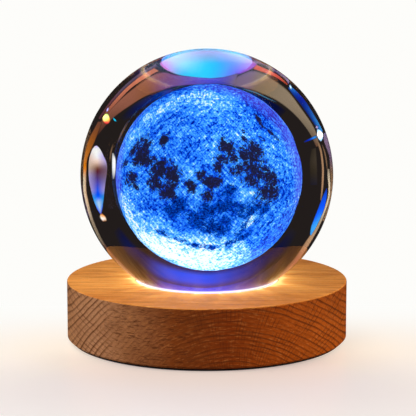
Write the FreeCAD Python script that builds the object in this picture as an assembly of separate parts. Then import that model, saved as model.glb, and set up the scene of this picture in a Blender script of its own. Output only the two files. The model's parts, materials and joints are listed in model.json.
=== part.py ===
"""Crystal ball lamp: an engraved glass ball that stands on a lit, rechargeable wooden base.

Millimetres. +Z is up, the origin is the middle of the base's underside, and -Y is the front.
The base is sized outwards from the ball and upwards through what is stacked inside it.
"""

import FreeCAD, Part  # noqa: E401  FreeCAD has to come first
import math
import os

V = FreeCAD.Vector
X_AXIS, Y_AXIS, Z_AXIS = V(1, 0, 0), V(0, 1, 0), V(0, 0, 1)

# ---------------------------------------------------------------- the glass ball
BALL_DIAMETER = 80.0
FLAT_DIAMETER = 34.0          # ground and polished flat that keeps the ball from rolling
FLAT_BEVEL = 0.5              # narrow polished edge round the flat
MOON_DIAMETER = 38.9          # the zone of laser-made points inside the glass
MOON_SIDE_OFFSET = 0.45       # the engraving sits a little to the right of the ball's middle
MOON_DROP = 0.5               # and a little below it
ENGRAVING_GAP = 0.05          # between the points' outer skin and the clear glass

# ---------------------------------------------------------------- the seat in the wood
FLAT_DEPTH = 2.9              # from the wood's top face down to the ball's flat
RIM_GAP = 0.8                 # ring of light between the ball and the wood
SEAT_CLEARANCE = 0.2          # ball to seat ring
RING_PLAY = 0.2               # seat ring to the wood's bore
RING_TOP_DROP = 0.2           # seat ring's top below the wood's top face
WINDOW_GAP = 0.4              # the light window to the ball's flat
WINDOW_OVERHANG = 1.6         # the window's edge beyond the ball's flat
WINDOW_THICKNESS = 1.6
WINDOW_PLAY = 0.3             # seat ring to the window's edge
WINDOW_LEDGE = 1.2            # width of wood that carries the window
LEDGE_THICKNESS = 2.6         # web of wood between the window and the pocket below

# ---------------------------------------------------------------- the wooden base
RIM_WIDTH = 21.7              # wood from the seat's bore to the base's edge
WALL_THICKNESS = 12.5         # wood round the pocket
TOP_EDGE_ROUND = 0.5
BOTTOM_EDGE_CHAMFER = 0.6
BORE_CHAMFER = 0.3

# ---------------------------------------------------------------- the underside
PAD_THICKNESS = 0.8
PAD_INSET = 1.5               # pad's edge inside the wood's edge
PAD_TO_COVER = 0.8            # pad's inner edge outside the cover
COVER_THICKNESS = 2.0
COVER_LIP = 5.8               # how far the cover laps the wood outside the pocket
COVER_PLAY = 0.2
COVER_SCREW_COUNT, COVER_SCREW_ANGLE = 4, 45.0
COVER_SCREW_LENGTH = 8.0
COVER_HEAD_DIAMETER = 4.4

# ---------------------------------------------------------------- the battery
CELL_LENGTH = 35.0            # along X
CELL_WIDTH = 30.0             # along Y
CELL_THICKNESS = 5.0
CELL_CORNER = 2.3
CELL_CENTRE_Y = -7.0
TAB_WIDTH, TAB_THICKNESS = 12.0, 1.7
CELL_PAD_LENGTH, CELL_PAD_WIDTH, CELL_PAD_THICKNESS = 25.0, 15.0, 0.8
CRADLE_WALL = 1.2
CRADLE_PLAY = 0.4
CRADLE_HEIGHT = 3.0
CRADLE_ARM = 6.0              # length of each corner of the cradle

# ---------------------------------------------------------------- the light board
BOARD_SPACE = 1.6             # free height between the battery and the light board
LED_BOARD_THICKNESS = 1.6
LED_BOARD_PLAY = 1.5          # board's edge to the pocket's wall
BOARD_SCREW_COUNT, BOARD_SCREW_ANGLE = 3, 30.0
BOARD_SCREW_INSET = 3.5
BOARD_SCREW_LENGTH = 5.0
WARM_LED_COUNT = 8
WARM_LED_LENGTH, WARM_LED_WIDTH, WARM_LED_HEIGHT = 3.5, 2.8, 0.8
BLUE_LED_COUNT = 4
BLUE_LED_SIDE, BLUE_LED_HEIGHT = 3.2, 1.0
BLUE_LED_CIRCLE = 10.0
LENS_INSET = 0.5              # edge of each LED package round its window
LENS_DEPTH = 0.15
REFLECTOR_PLAY = 0.2
REFLECTOR_TOP_WALL, REFLECTOR_FOOT_WALL = 0.6, 1.8

# ---------------------------------------------------------------- the rear panel
CHANNEL_PLAY = 0.3            # round the board and the button's flange, in the wall behind the panel
CHANNEL_CORNER = 0.9
PANEL_STEP = 0.9              # wood that the panel rests against, all round
PANEL_THICKNESS = 2.4
PANEL_RECESS = 0.2            # panel's face inside the wood's surface
PANEL_PLAY = 0.1
PANEL_SEAT_PLAY = 0.05

# ---------------------------------------------------------------- the charging board
CHARGE_BOARD_WIDTH = 23.6
CHARGE_BOARD_THICKNESS = 1.2
CHARGE_BOARD_STANDOFF = 2.4   # height of the posts that carry it
CHARGE_BOARD_PLAY = 0.3       # its outer edge to the button's flange, pressed in
CHARGE_BOARD_GAP = 7.0        # its inner edge to the battery
POST_DIAMETER = 5.0
POST_INSET = 3.6
POST_SCREW_LENGTH = 4.2
POST_HOLE_SINK = 1.0          # depth of the post's hole below the plate's top
SOCKET_EDGE = 0.33            # its side inside the board's side edge
SOCKET_WIDTH, SOCKET_HEIGHT, SOCKET_DEPTH = 8.94, 3.16, 7.35
SOCKET_WALL = 0.3
SOCKET_RECESS = 0.8           # its mouth behind the panel's face
SOCKET_PLAY = 0.15
TONGUE_WIDTH, TONGUE_THICKNESS, TONGUE_RECESS, TONGUE_ROOT = 6.7, 0.7, 0.8, 0.6
CHIP_X, CHIP_SIDE, CHIP_HEIGHT = -4.4, 4.0, 0.9
COIL_X, COIL_SIDE, COIL_HEIGHT = 4.4, 4.4, 2.0
COIL_FLANGE, COIL_CORE_DIAMETER = 0.5, 3.2
PART_SPACING = 1.0            # between the board's screws and the row of parts behind them
CONNECTOR_LENGTH, CONNECTOR_WIDTH, CONNECTOR_HEIGHT = 6.0, 4.2, 2.8
CONNECTOR_EDGE = 0.4          # its face inside the board's edge, and its chamfers

# ---------------------------------------------------------------- the power button
BUTTON_DIAMETER = 5.0
BUTTON_PLAY = 0.15
BUTTON_PROUD = 0.35
BUTTON_TRAVEL = 0.5
BUTTON_DISH = 0.25            # depth of the finger dish in its face
BUTTON_LIP = 0.5              # flat rim round the dish
BUTTON_FLANGE_DIAMETER = 6.0
BUTTON_FLANGE_THICKNESS = 0.8
BUTTON_FLANGE_GAP = 0.15
STEM_DIAMETER, STEM_REACH = 2.4, 1.0
SWITCH_WIDTH, SWITCH_DEPTH, SWITCH_HEIGHT = 6.0, 3.4, 3.3
SWITCH_EDGE = 1.3             # its side inside the board's other side edge
PLUNGER_DIAMETER = 2.0
PLUNGER_REACH = 1.6           # plunger showing out of the switch
PLUNGER_PLAY = 0.1
INDICATOR_DIAMETER = 1.8
INDICATOR_PLAY = 0.03
INDICATOR_LED_SIDE, INDICATOR_LED_HEIGHT = 1.6, 1.9
INDICATOR_LED_EDGE = 0.2      # its front inside the board's edge
INDICATOR_GAP = 0.3           # between the LED and its light pin

# ---------------------------------------------------------------- wires and screws
WIRE_DIAMETER = 0.8
WIRE_PITCH = 1.6              # between the two wires of a pair
WIRE_END_RUN = 1.3            # straight run at each end of a wire
LED_LEAD_LEAN = 0.6           # how far the light board's wires lean towards the middle
SHANK_DIAMETER = 2.0
SHANK_PLAY = 0.05
SCREW_POINT, SCREW_TIP_DIAMETER = 1.2, 0.5   # tapered end
PAN_HEAD_DIAMETER, PAN_HEAD_HEIGHT, PAN_HEAD_ROUND = 3.8, 1.2, 0.4
DRIVE_LENGTH, DRIVE_WIDTH, DRIVE_DEPTH = 2.2, 0.6, 0.6   # cross recess

# ---------------------------------------------------------------- limits of the modelling
SAME = 0.01                   # edges within this of a size are the ones meant
WALL_SHARE = 0.46             # the most of a wall that a round on both of its edges may take

# ================================================================ sizes worked out
ball_r = BALL_DIAMETER / 2
flat_r = FLAT_DIAMETER / 2
moon_r = MOON_DIAMETER / 2

pad_top = PAD_THICKNESS
cover_top = pad_top + COVER_THICKNESS
cell_bottom = cover_top + CELL_PAD_THICKNESS
cell_top = cell_bottom + CELL_THICKNESS
led_board_bottom = cell_top + BOARD_SPACE
pocket_top = led_board_bottom + LED_BOARD_THICKNESS
ledge_top = pocket_top + LEDGE_THICKNESS
window_top = ledge_top + WINDOW_THICKNESS
flat_z = window_top + WINDOW_GAP
base_top = flat_z + FLAT_DEPTH

flat_below_centre = math.sqrt(ball_r**2 - flat_r**2)
ball_z = flat_z + flat_below_centre


def ball_section(height, grow=0.0):
    """Radius of the ball, grown by an allowance, where a level plane cuts it."""
    return math.sqrt((ball_r + grow) ** 2 - (ball_z - height) ** 2)


bore_r = ball_section(base_top) + RIM_GAP
base_r = bore_r + RIM_WIDTH
pocket_r = base_r - WALL_THICKNESS
window_r = flat_r + WINDOW_OVERHANG
light_bore_r = window_r - WINDOW_LEDGE
cover_r = pocket_r + COVER_LIP
cover_screw_r = pocket_r + COVER_LIP / 2
led_board_r = pocket_r - LED_BOARD_PLAY
board_screw_r = led_board_r - BOARD_SCREW_INSET

panel_face_r = base_r - PANEL_RECESS
panel_back_r = panel_face_r - PANEL_THICKNESS
charge_board_bottom = cover_top + CHARGE_BOARD_STANDOFF
charge_board_top = charge_board_bottom + CHARGE_BOARD_THICKNESS
inlet_z = charge_board_top + SOCKET_HEIGHT / 2
channel_half_width = CHARGE_BOARD_WIDTH / 2 + CHANNEL_PLAY
channel_half_height = max(BUTTON_FLANGE_DIAMETER / 2, inlet_z - charge_board_bottom) + CHANNEL_PLAY
panel_half_width = channel_half_width + PANEL_STEP
panel_half_height = channel_half_height + PANEL_STEP
panel_corner = CHANNEL_CORNER + PANEL_STEP
socket_x = SOCKET_EDGE + SOCKET_WIDTH / 2 - CHARGE_BOARD_WIDTH / 2
button_x = CHARGE_BOARD_WIDTH / 2 - SWITCH_EDGE - SWITCH_WIDTH / 2
indicator_x = (socket_x + SOCKET_WIDTH / 2 + button_x - BUTTON_DIAMETER / 2) / 2


# ================================================================ small helpers
def on_circle(radius, x):
    """Y of the rear of a circle round the lamp's axis, at this X."""
    return math.sqrt(radius**2 - x**2)


def disc(radius, bottom, top):
    return Part.makeCylinder(radius, top - bottom, V(0, 0, bottom))


def ring(outer, inner, bottom, top):
    return disc(outer, bottom, top).cut(disc(inner, bottom, top))


def block(centre_x, centre_y, bottom, length, width, height):
    corner = V(centre_x - length / 2, centre_y - width / 2, bottom)
    return Part.makeBox(length, width, height, corner)


def revolved(edges):
    """Solid of revolution about Z, from a closed outline in the XZ plane."""
    return Part.Face(Part.Wire(edges)).revolve(V(0, 0, 0), Z_AXIS, 360)


def outline(points):
    """Straight edges through (radius, height) points, closed."""
    corners = [V(r, 0, z) for r, z in points]
    return [Part.LineSegment(a, b).toShape() for a, b in zip(corners, corners[1:] + corners[:1])]


def rod(radius, x, z, y_from, y_to):
    """Round bar along Y, the direction of everything in the rear panel."""
    return Part.makeCylinder(radius, y_to - y_from, V(x, y_from, z), Y_AXIS)


def oblong(width, height, x, z, y_from, y_to):
    """Bar along Y whose section is a slot with round ends, width across X."""
    end_r = height / 2
    half = width / 2 - end_r
    left, right = V(x - half, y_from, z), V(x + half, y_from, z)
    up, side = V(0, 0, end_r), V(end_r, 0, 0)
    edges = [
        Part.LineSegment(left + up, right + up).toShape(),
        Part.Arc(right + up, right + side, right - up).toShape(),
        Part.LineSegment(right - up, left - up).toShape(),
        Part.Arc(left - up, left - side, left + up).toShape(),
    ]
    return Part.Face(Part.Wire(edges)).extrude(V(0, y_to - y_from, 0))


def rounded_bar(half_width, half_height, corner, y_from, y_to):
    """Bar along Y, level with the charging inlet, whose section is a rectangle with round corners."""
    bar = block(
        0, (y_from + y_to) / 2, inlet_z - half_height, 2 * half_width, y_to - y_from, 2 * half_height
    )
    along = [e for e in bar.Edges if abs(e.BoundBox.YLength - (y_to - y_from)) < SAME]
    return bar.makeFillet(corner, along)


def spaced_round(shape, count, radius, first_angle=0.0):
    """Copies of a shape made at the axis, moved out and spread round it."""
    copies = []
    for n in range(count):
        copy = shape.copy()
        copy.translate(V(radius, 0, 0))
        copy.rotate(V(0, 0, 0), Z_AXIS, first_angle + 360.0 * n / count)
        copies.append(copy)
    return copies


def cross_recess(face_z):
    """Cutter for a cross drive sunk into the face of a screw head that looks down."""
    one = block(0, 0, face_z, DRIVE_LENGTH, DRIVE_WIDTH, DRIVE_DEPTH)
    other = block(0, 0, face_z, DRIVE_WIDTH, DRIVE_LENGTH, DRIVE_DEPTH)
    return one.fuse(other)


def shank(bottom, length):
    """Screw shank that points up and ends in a taper."""
    point_z = bottom + length - SCREW_POINT
    point = Part.makeCone(SHANK_DIAMETER / 2, SCREW_TIP_DIAMETER / 2, SCREW_POINT, V(0, 0, point_z))
    return disc(SHANK_DIAMETER / 2, bottom, point_z).fuse(point)


def pilot_hole(bottom, length):
    return disc(SHANK_DIAMETER / 2 + SHANK_PLAY, bottom, bottom + length + SHANK_PLAY)


def pan_screw(face_z, length):
    """Pan-head screw driven upwards, its head under face_z."""
    head = disc(PAN_HEAD_DIAMETER / 2, face_z - PAN_HEAD_HEIGHT, face_z)
    low_edges = [e for e in head.Edges if e.BoundBox.ZMax < face_z - PAN_HEAD_HEIGHT + SAME]
    head = head.makeFillet(PAN_HEAD_ROUND, low_edges)
    screw = head.fuse(shank(face_z, length))
    return screw.cut(cross_recess(face_z - PAN_HEAD_HEIGHT)).removeSplitter()


def wire_along(points):
    """Round wire through the points, with each corner turned on the largest arc that its runs allow."""
    bends = []
    for before, corner, after in zip(points, points[1:], points[2:]):
        run_in, run_out = corner - before, after - corner
        reach = 0.45 * min(run_in.Length, run_out.Length)
        into, out = run_in.normalize(), run_out.normalize()
        start, end = corner - into * reach, corner + out * reach
        radius = reach / math.tan(into.getAngle(out) / 2)
        centre = start + (out - into * into.dot(out)).normalize() * radius
        middle = centre + (corner - centre).normalize() * radius
        bends.append((start, middle, end, radius))
    edges, place = [], points[0]
    for start, middle, end, radius in bends:
        edges.append(Part.LineSegment(place, start).toShape())
        edges.append(Part.Arc(start, middle, end).toShape())
        place = end
    edges.append(Part.LineSegment(place, points[-1]).toShape())
    circle = Part.makeCircle(WIRE_DIAMETER / 2, points[0], points[1] - points[0])
    pipe = Part.BRepOffsetAPI.MakePipeShell(Part.Wire(edges))
    pipe.add(Part.Wire(circle))
    pipe.build()
    pipe.makeSolid()
    wire = pipe.shape()
    true_volume = math.pi * WIRE_DIAMETER**2 / 4 * sum(e.Length for e in edges)
    tightest = min(bend[3] for bend in bends)
    print(f"wire: tightest bend {tightest:.2f}, volume {wire.Volume / true_volume:.4f} of true")
    return wire


# ================================================================ the ball
def glass_ball():
    """Ball with its bevelled flat and the hollow that the engraving fills."""
    centre = V(0, 0, ball_z)
    bevel_z = flat_z + FLAT_BEVEL
    bevel_r = ball_section(bevel_z)
    start, top = V(bevel_r, 0, bevel_z), V(0, 0, ball_z + ball_r)
    side = centre + (start - centre + top - centre).normalize() * ball_r
    edges = [
        Part.LineSegment(V(0, 0, flat_z), V(flat_r - FLAT_BEVEL, 0, flat_z)).toShape(),
        Part.LineSegment(V(flat_r - FLAT_BEVEL, 0, flat_z), start).toShape(),
        Part.Arc(start, side, top).toShape(),
        Part.LineSegment(top, V(0, 0, flat_z)).toShape(),
    ]
    return revolved(edges).cut(Part.makeSphere(moon_r + ENGRAVING_GAP, moon_centre()))


def moon_centre():
    return V(MOON_SIDE_OFFSET, 0, ball_z - MOON_DROP)


def engraved_moon():
    return Part.makeSphere(moon_r, moon_centre())


# ================================================================ seat and light
def seat_ring():
    """Loose translucent ring whose top is hollowed to the ball and glows round its foot."""
    outer, inner = bore_r - RING_PLAY, window_r + WINDOW_PLAY
    top = base_top - RING_TOP_DROP
    hollow_r = ball_r + SEAT_CLEARANCE
    lip = V(ball_section(top, SEAT_CLEARANCE), 0, top)
    foot = V(inner, 0, ball_z - math.sqrt(hollow_r**2 - inner**2))
    centre = V(0, 0, ball_z)
    middle = centre + (lip - centre + foot - centre).normalize() * hollow_r
    corners = [foot, V(inner, 0, ledge_top), V(outer, 0, ledge_top), V(outer, 0, top), lip]
    edges = [Part.LineSegment(a, b).toShape() for a, b in zip(corners, corners[1:])]
    edges.append(Part.Arc(lip, middle, foot).toShape())
    return revolved(edges)


def light_window():
    return disc(window_r, ledge_top, window_top)


def reflector_ring():
    """White cone that lines the light's bore between the board and the window."""
    outer = light_bore_r - REFLECTOR_PLAY
    profile = [
        (outer, pocket_top),
        (outer, ledge_top),
        (outer - REFLECTOR_TOP_WALL, ledge_top),
        (outer - REFLECTOR_FOOT_WALL, pocket_top),
    ]
    return revolved(outline(profile))


def led_package(length, width, height):
    """Surface-mounted LED with its window sunk into the top."""
    body = block(0, 0, pocket_top, length, width, height)
    lens_z = pocket_top + height - LENS_DEPTH
    return body.cut(block(0, 0, lens_z, length - 2 * LENS_INSET, width - 2 * LENS_INSET, LENS_DEPTH))


def reflector_foot_r():
    return light_bore_r - REFLECTOR_PLAY - REFLECTOR_FOOT_WALL


def warm_leds():
    """Outer circle of warm LEDs, which light the seat ring."""
    radius = reflector_foot_r() - WARM_LED_LENGTH / 2 - REFLECTOR_PLAY
    led = led_package(WARM_LED_LENGTH, WARM_LED_WIDTH, WARM_LED_HEIGHT)
    return Part.makeCompound(spaced_round(led, WARM_LED_COUNT, radius, 180.0 / WARM_LED_COUNT))


def blue_leds():
    """Inner group of blue LEDs, which shine up into the engraving."""
    led = led_package(BLUE_LED_SIDE, BLUE_LED_SIDE, BLUE_LED_HEIGHT)
    return Part.makeCompound(spaced_round(led, BLUE_LED_COUNT, BLUE_LED_CIRCLE / 2))


def led_board():
    """Round white board screwed up against the pocket's ceiling."""
    board = disc(led_board_r, led_board_bottom, pocket_top)
    hole = disc(SHANK_DIAMETER / 2 + SHANK_PLAY, led_board_bottom, pocket_top)
    return board.cut(spaced_round(hole, BOARD_SCREW_COUNT, board_screw_r, BOARD_SCREW_ANGLE))


def board_screws():
    screw = pan_screw(led_board_bottom, LED_BOARD_THICKNESS + BOARD_SCREW_LENGTH)
    return Part.makeCompound(spaced_round(screw, BOARD_SCREW_COUNT, board_screw_r, BOARD_SCREW_ANGLE))


# ================================================================ the wooden base
def rear_channel():
    """Opening through the rear wall: wide where the panel sits, narrower behind the step."""
    wide = rounded_bar(panel_half_width, panel_half_height, panel_corner, 0, base_r)
    wide = wide.cut(disc(panel_back_r - PANEL_SEAT_PLAY, 0, base_top))
    narrow = rounded_bar(
        channel_half_width, channel_half_height, CHANNEL_CORNER, pocket_r / 2, base_r
    )
    return wide.fuse(narrow)


def wood_base():
    """Turned disc, bored from the top for the ball and from below for the electronics."""
    profile = [
        (light_bore_r, pocket_top),
        (light_bore_r, ledge_top),
        (bore_r, ledge_top),
        (bore_r, base_top - BORE_CHAMFER),
        (bore_r + BORE_CHAMFER, base_top),
        (base_r, base_top),
        (base_r, pad_top + BOTTOM_EDGE_CHAMFER),
        (base_r - BOTTOM_EDGE_CHAMFER, pad_top),
        (cover_r + COVER_PLAY, pad_top),
        (cover_r + COVER_PLAY, cover_top),
        (pocket_r, cover_top),
        (pocket_r, pocket_top),
    ]
    body = revolved(outline(profile))
    top_rim = [
        e for e in body.Edges
        if e.Closed and abs(e.BoundBox.ZMin - base_top) < SAME and abs(e.BoundBox.XMax - base_r) < SAME
    ]
    body = body.makeFillet(TOP_EDGE_ROUND, top_rim)
    cover_hole = pilot_hole(cover_top, COVER_SCREW_LENGTH - COVER_THICKNESS)
    board_hole = pilot_hole(pocket_top, BOARD_SCREW_LENGTH)
    holes = spaced_round(cover_hole, COVER_SCREW_COUNT, cover_screw_r, COVER_SCREW_ANGLE)
    holes += spaced_round(board_hole, BOARD_SCREW_COUNT, board_screw_r, BOARD_SCREW_ANGLE)
    return body.cut([rear_channel(), *holes])


# ================================================================ the underside
def anti_slip_pad():
    return ring(base_r - PAD_INSET, cover_r + PAD_TO_COVER, 0, pad_top)


def countersunk_screw():
    """Wood screw driven upwards through the cover, its face level with the cover's."""
    head_r = COVER_HEAD_DIAMETER / 2
    head_height = head_r - SHANK_DIAMETER / 2
    head = Part.makeCone(head_r, SHANK_DIAMETER / 2, head_height, V(0, 0, pad_top))
    screw = head.fuse(shank(pad_top + head_height, COVER_SCREW_LENGTH - head_height))
    return screw.cut(cross_recess(pad_top)).removeSplitter()


def cover_screws():
    screw = countersunk_screw()
    return Part.makeCompound(spaced_round(screw, COVER_SCREW_COUNT, cover_screw_r, COVER_SCREW_ANGLE))


def cradle():
    """Four L-shaped corners that hold the battery in place on the cover."""
    inner_x = CELL_LENGTH / 2 + CRADLE_PLAY
    inner_y = CELL_WIDTH / 2 + CRADLE_PLAY
    outer = block(
        0, CELL_CENTRE_Y, cover_top, 2 * (inner_x + CRADLE_WALL), 2 * (inner_y + CRADLE_WALL), CRADLE_HEIGHT
    )
    inner = block(0, CELL_CENTRE_Y, cover_top, 2 * inner_x, 2 * inner_y, CRADLE_HEIGHT)
    gap_x = block(0, CELL_CENTRE_Y, cover_top, 2 * (inner_x - CRADLE_ARM), 4 * inner_y, CRADLE_HEIGHT)
    gap_y = block(0, CELL_CENTRE_Y, cover_top, 4 * inner_x, 2 * (inner_y - CRADLE_ARM), CRADLE_HEIGHT)
    return outer.cut([inner, gap_x, gap_y])


def post_places():
    """Where the two posts of the charging board stand."""
    x = CHARGE_BOARD_WIDTH / 2 - POST_INSET
    y = charge_board_inner_y() + POST_INSET
    return [(-x, y), (x, y)]


def bottom_cover():
    """Plate let into the underside, with the battery's cradle and the posts of the charging board."""
    plate = disc(cover_r, pad_top, cover_top)
    bodies = [cradle()]
    holes = []
    for x, y in post_places():
        post = Part.makeCylinder(POST_DIAMETER / 2, CHARGE_BOARD_STANDOFF, V(x, y, cover_top))
        bodies.append(post)
        hole_depth = CHARGE_BOARD_STANDOFF + POST_HOLE_SINK
        hole_r = SHANK_DIAMETER / 2 + SHANK_PLAY
        holes.append(Part.makeCylinder(hole_r, hole_depth, V(x, y, charge_board_bottom - hole_depth)))
    head_r = COVER_HEAD_DIAMETER / 2 + SHANK_PLAY
    sink_r = SHANK_DIAMETER / 2 + SHANK_PLAY
    sink = Part.makeCone(head_r, sink_r, head_r - sink_r, V(0, 0, pad_top))
    hole = sink.fuse(disc(sink_r, pad_top, cover_top))
    holes += spaced_round(hole, COVER_SCREW_COUNT, cover_screw_r, COVER_SCREW_ANGLE)
    return plate.fuse(bodies).cut(holes).removeSplitter()


# ================================================================ the battery
def battery_pad():
    """Strip of foam tape under the cell."""
    return block(0, CELL_CENTRE_Y, cover_top, CELL_PAD_LENGTH, CELL_PAD_WIDTH, CELL_PAD_THICKNESS)


def battery_cell():
    """Soft-sided lithium cell with rounded long edges and its folded tab end."""
    cell = block(0, CELL_CENTRE_Y, cell_bottom, CELL_LENGTH, CELL_WIDTH, CELL_THICKNESS)
    long_edges = [e for e in cell.Edges if abs(e.BoundBox.XLength - CELL_LENGTH) < SAME]
    cell = cell.makeFillet(min(CELL_CORNER, WALL_SHARE * CELL_THICKNESS), long_edges)
    tab_from = CELL_CENTRE_Y + CELL_WIDTH / 2 - CELL_CORNER
    tab_z = cell_bottom + (CELL_THICKNESS - TAB_THICKNESS) / 2
    tab_depth = cell_tab_y() - tab_from
    tab = block(0, tab_from + tab_depth / 2, tab_z, TAB_WIDTH, tab_depth, TAB_THICKNESS)
    return cell.fuse(tab).removeSplitter()


def cell_tab_y():
    """Rear face of the tab, where the leads start."""
    return CELL_CENTRE_Y + CELL_WIDTH / 2 + CRADLE_PLAY + CRADLE_WALL


# ================================================================ the charging board
def charge_board_inner_y():
    return cell_tab_y() + CHARGE_BOARD_GAP


def charge_board_outer_y():
    """Clear of the button's flange when it is pressed in."""
    return flange_face_y() - BUTTON_FLANGE_THICKNESS - BUTTON_TRAVEL - CHARGE_BOARD_PLAY


def charge_board():
    inner_y, outer_y = charge_board_inner_y(), charge_board_outer_y()
    middle_y = (inner_y + outer_y) / 2
    board = block(
        0, middle_y, charge_board_bottom, CHARGE_BOARD_WIDTH, outer_y - inner_y, CHARGE_BOARD_THICKNESS
    )
    hole = disc(SHANK_DIAMETER / 2 + SHANK_PLAY, charge_board_bottom, charge_board_top)
    return board.cut([hole.translated(V(x, y, 0)) for x, y in post_places()])


def charge_board_screws():
    """Pan-head screws driven down into the posts."""
    screws = []
    for x, y in post_places():
        screw = pan_screw(0, POST_SCREW_LENGTH)
        screw.rotate(V(0, 0, 0), X_AXIS, 180)
        screw.translate(V(x, y, charge_board_top))
        screws.append(screw)
    return Part.makeCompound(screws)


def socket_mouth_y():
    return on_circle(panel_face_r, socket_x) - SOCKET_RECESS


def usb_socket():
    """Pressed-steel shell of the charging inlet, closed at the back, open at its mouth."""
    mouth = socket_mouth_y()
    back = mouth - SOCKET_DEPTH
    shell = oblong(SOCKET_WIDTH, SOCKET_HEIGHT, socket_x, inlet_z, back, mouth)
    return shell.cut(socket_inside(back + SOCKET_WALL, mouth))


def socket_inside(y_from, y_to):
    """Slug that fills the shell between two depths."""
    width, height = SOCKET_WIDTH - 2 * SOCKET_WALL, SOCKET_HEIGHT - 2 * SOCKET_WALL
    return oblong(width, height, socket_x, inlet_z, y_from, y_to)


def usb_tongue():
    """Contact tongue that stands in the middle of the shell."""
    mouth = socket_mouth_y()
    back = mouth - SOCKET_DEPTH + SOCKET_WALL
    length = SOCKET_DEPTH - SOCKET_WALL - TONGUE_RECESS
    tongue = block(
        socket_x, back + length / 2, inlet_z - TONGUE_THICKNESS / 2, TONGUE_WIDTH, length, TONGUE_THICKNESS
    )
    return tongue.fuse(socket_inside(back, back + TONGUE_ROOT)).removeSplitter()


def part_row_y():
    """Middle of the row of parts on the charging board, just behind its screws."""
    return charge_board_inner_y() + POST_INSET + PAN_HEAD_DIAMETER / 2 + COIL_SIDE / 2 + PART_SPACING


def charge_chip():
    return block(CHIP_X, part_row_y(), charge_board_top, CHIP_SIDE, CHIP_SIDE, CHIP_HEIGHT)


def charge_coil():
    """Choke: a round core between two square flanges."""
    y, flange = part_row_y(), COIL_FLANGE
    foot = block(COIL_X, y, charge_board_top, COIL_SIDE, COIL_SIDE, flange)
    cap = foot.translated(V(0, 0, COIL_HEIGHT - flange))
    core = Part.makeCylinder(COIL_CORE_DIAMETER / 2, COIL_HEIGHT, V(COIL_X, y, charge_board_top))
    return foot.fuse([core, cap]).removeSplitter()


def connector_y():
    return charge_board_inner_y() + CONNECTOR_WIDTH / 2 + CONNECTOR_EDGE


def battery_connector():
    """Plug and socket of the battery's leads, between the two board screws."""
    body = block(0, connector_y(), charge_board_top, CONNECTOR_LENGTH, CONNECTOR_WIDTH, CONNECTOR_HEIGHT)
    upright = [e for e in body.Edges if abs(e.BoundBox.ZLength - CONNECTOR_HEIGHT) < 0.01]
    return body.makeChamfer(CONNECTOR_EDGE, upright)


def battery_leads():
    """Two wires from the cell's tab up into the connector's front."""
    start_y, end_y = cell_tab_y(), connector_y() - CONNECTOR_WIDTH / 2
    start_z = cell_bottom + CELL_THICKNESS / 2
    end_z = charge_board_top + CONNECTOR_HEIGHT / 2
    wires = []
    for side in (-1, 1):
        x = side * WIRE_PITCH / 2
        points = [
            V(x, start_y, start_z),
            V(x, start_y + WIRE_END_RUN, start_z),
            V(x, end_y - WIRE_END_RUN, end_z),
            V(x, end_y, end_z),
        ]
        wires.append(wire_along(points))
    return Part.makeCompound(wires)


def led_leads():
    """Two wires that rise from the charging board to the light board."""
    y = part_row_y()
    wires = []
    for side in (-1, 1):
        x = side * WIRE_PITCH / 2
        points = [
            V(x, y, charge_board_top),
            V(x, y, charge_board_top + WIRE_END_RUN),
            V(x, y - LED_LEAD_LEAN, led_board_bottom - WIRE_END_RUN),
            V(x, y - LED_LEAD_LEAN, led_board_bottom),
        ]
        wires.append(wire_along(points))
    return Part.makeCompound(wires)


# ================================================================ panel and button
def rear_panel():
    """Moulded panel that follows the base's curve, with holes for the inlet, the button and the light."""
    blank = rounded_bar(
        panel_half_width - PANEL_PLAY, panel_half_height - PANEL_PLAY, panel_corner - PANEL_PLAY, 0, base_r
    )
    plate = blank.common(ring(panel_face_r, panel_back_r, 0, base_top))
    socket_hole = oblong(
        SOCKET_WIDTH + 2 * SOCKET_PLAY, SOCKET_HEIGHT + 2 * SOCKET_PLAY, socket_x, inlet_z, 0, base_r
    )
    button_hole = rod(BUTTON_DIAMETER / 2 + BUTTON_PLAY, button_x, inlet_z, 0, base_r)
    indicator_hole = rod(INDICATOR_DIAMETER / 2 + INDICATOR_PLAY, indicator_x, inlet_z, 0, base_r)
    return plate.cut([socket_hole, button_hole, indicator_hole])


def button_face_y():
    return on_circle(panel_face_r, button_x) + BUTTON_PROUD


def flange_face_y():
    """Front of the button's flange, behind the panel's nearest edge."""
    outer_edge = abs(button_x) + BUTTON_FLANGE_DIAMETER / 2
    return on_circle(panel_back_r, outer_edge) - BUTTON_FLANGE_GAP


def plunger_tip_y():
    return flange_face_y() - BUTTON_FLANGE_THICKNESS - STEM_REACH


def button_cap():
    """Round push button with a finger dish, a flange that keeps it in, and a stem to the switch."""
    face, shoulder = button_face_y(), flange_face_y()
    cap = rod(BUTTON_DIAMETER / 2, button_x, inlet_z, shoulder, face)
    flange_r, flange_back = BUTTON_FLANGE_DIAMETER / 2, shoulder - BUTTON_FLANGE_THICKNESS
    flange = rod(flange_r, button_x, inlet_z, flange_back, shoulder)
    stem = rod(STEM_DIAMETER / 2, button_x, inlet_z, plunger_tip_y(), shoulder)
    dish_rim_r = BUTTON_DIAMETER / 2 - BUTTON_LIP
    dish_r = (dish_rim_r**2 + BUTTON_DISH**2) / (2 * BUTTON_DISH)
    dish = Part.makeSphere(dish_r, V(button_x, face - BUTTON_DISH + dish_r, inlet_z))
    return cap.fuse([flange, stem]).cut(dish).removeSplitter()


def switch_front_y():
    return plunger_tip_y() - PLUNGER_REACH


def switch_plunger():
    """Actuator pin of the switch, which moves with the button."""
    inside = BUTTON_TRAVEL
    return rod(PLUNGER_DIAMETER / 2, button_x, inlet_z, switch_front_y() - inside, plunger_tip_y())


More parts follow.
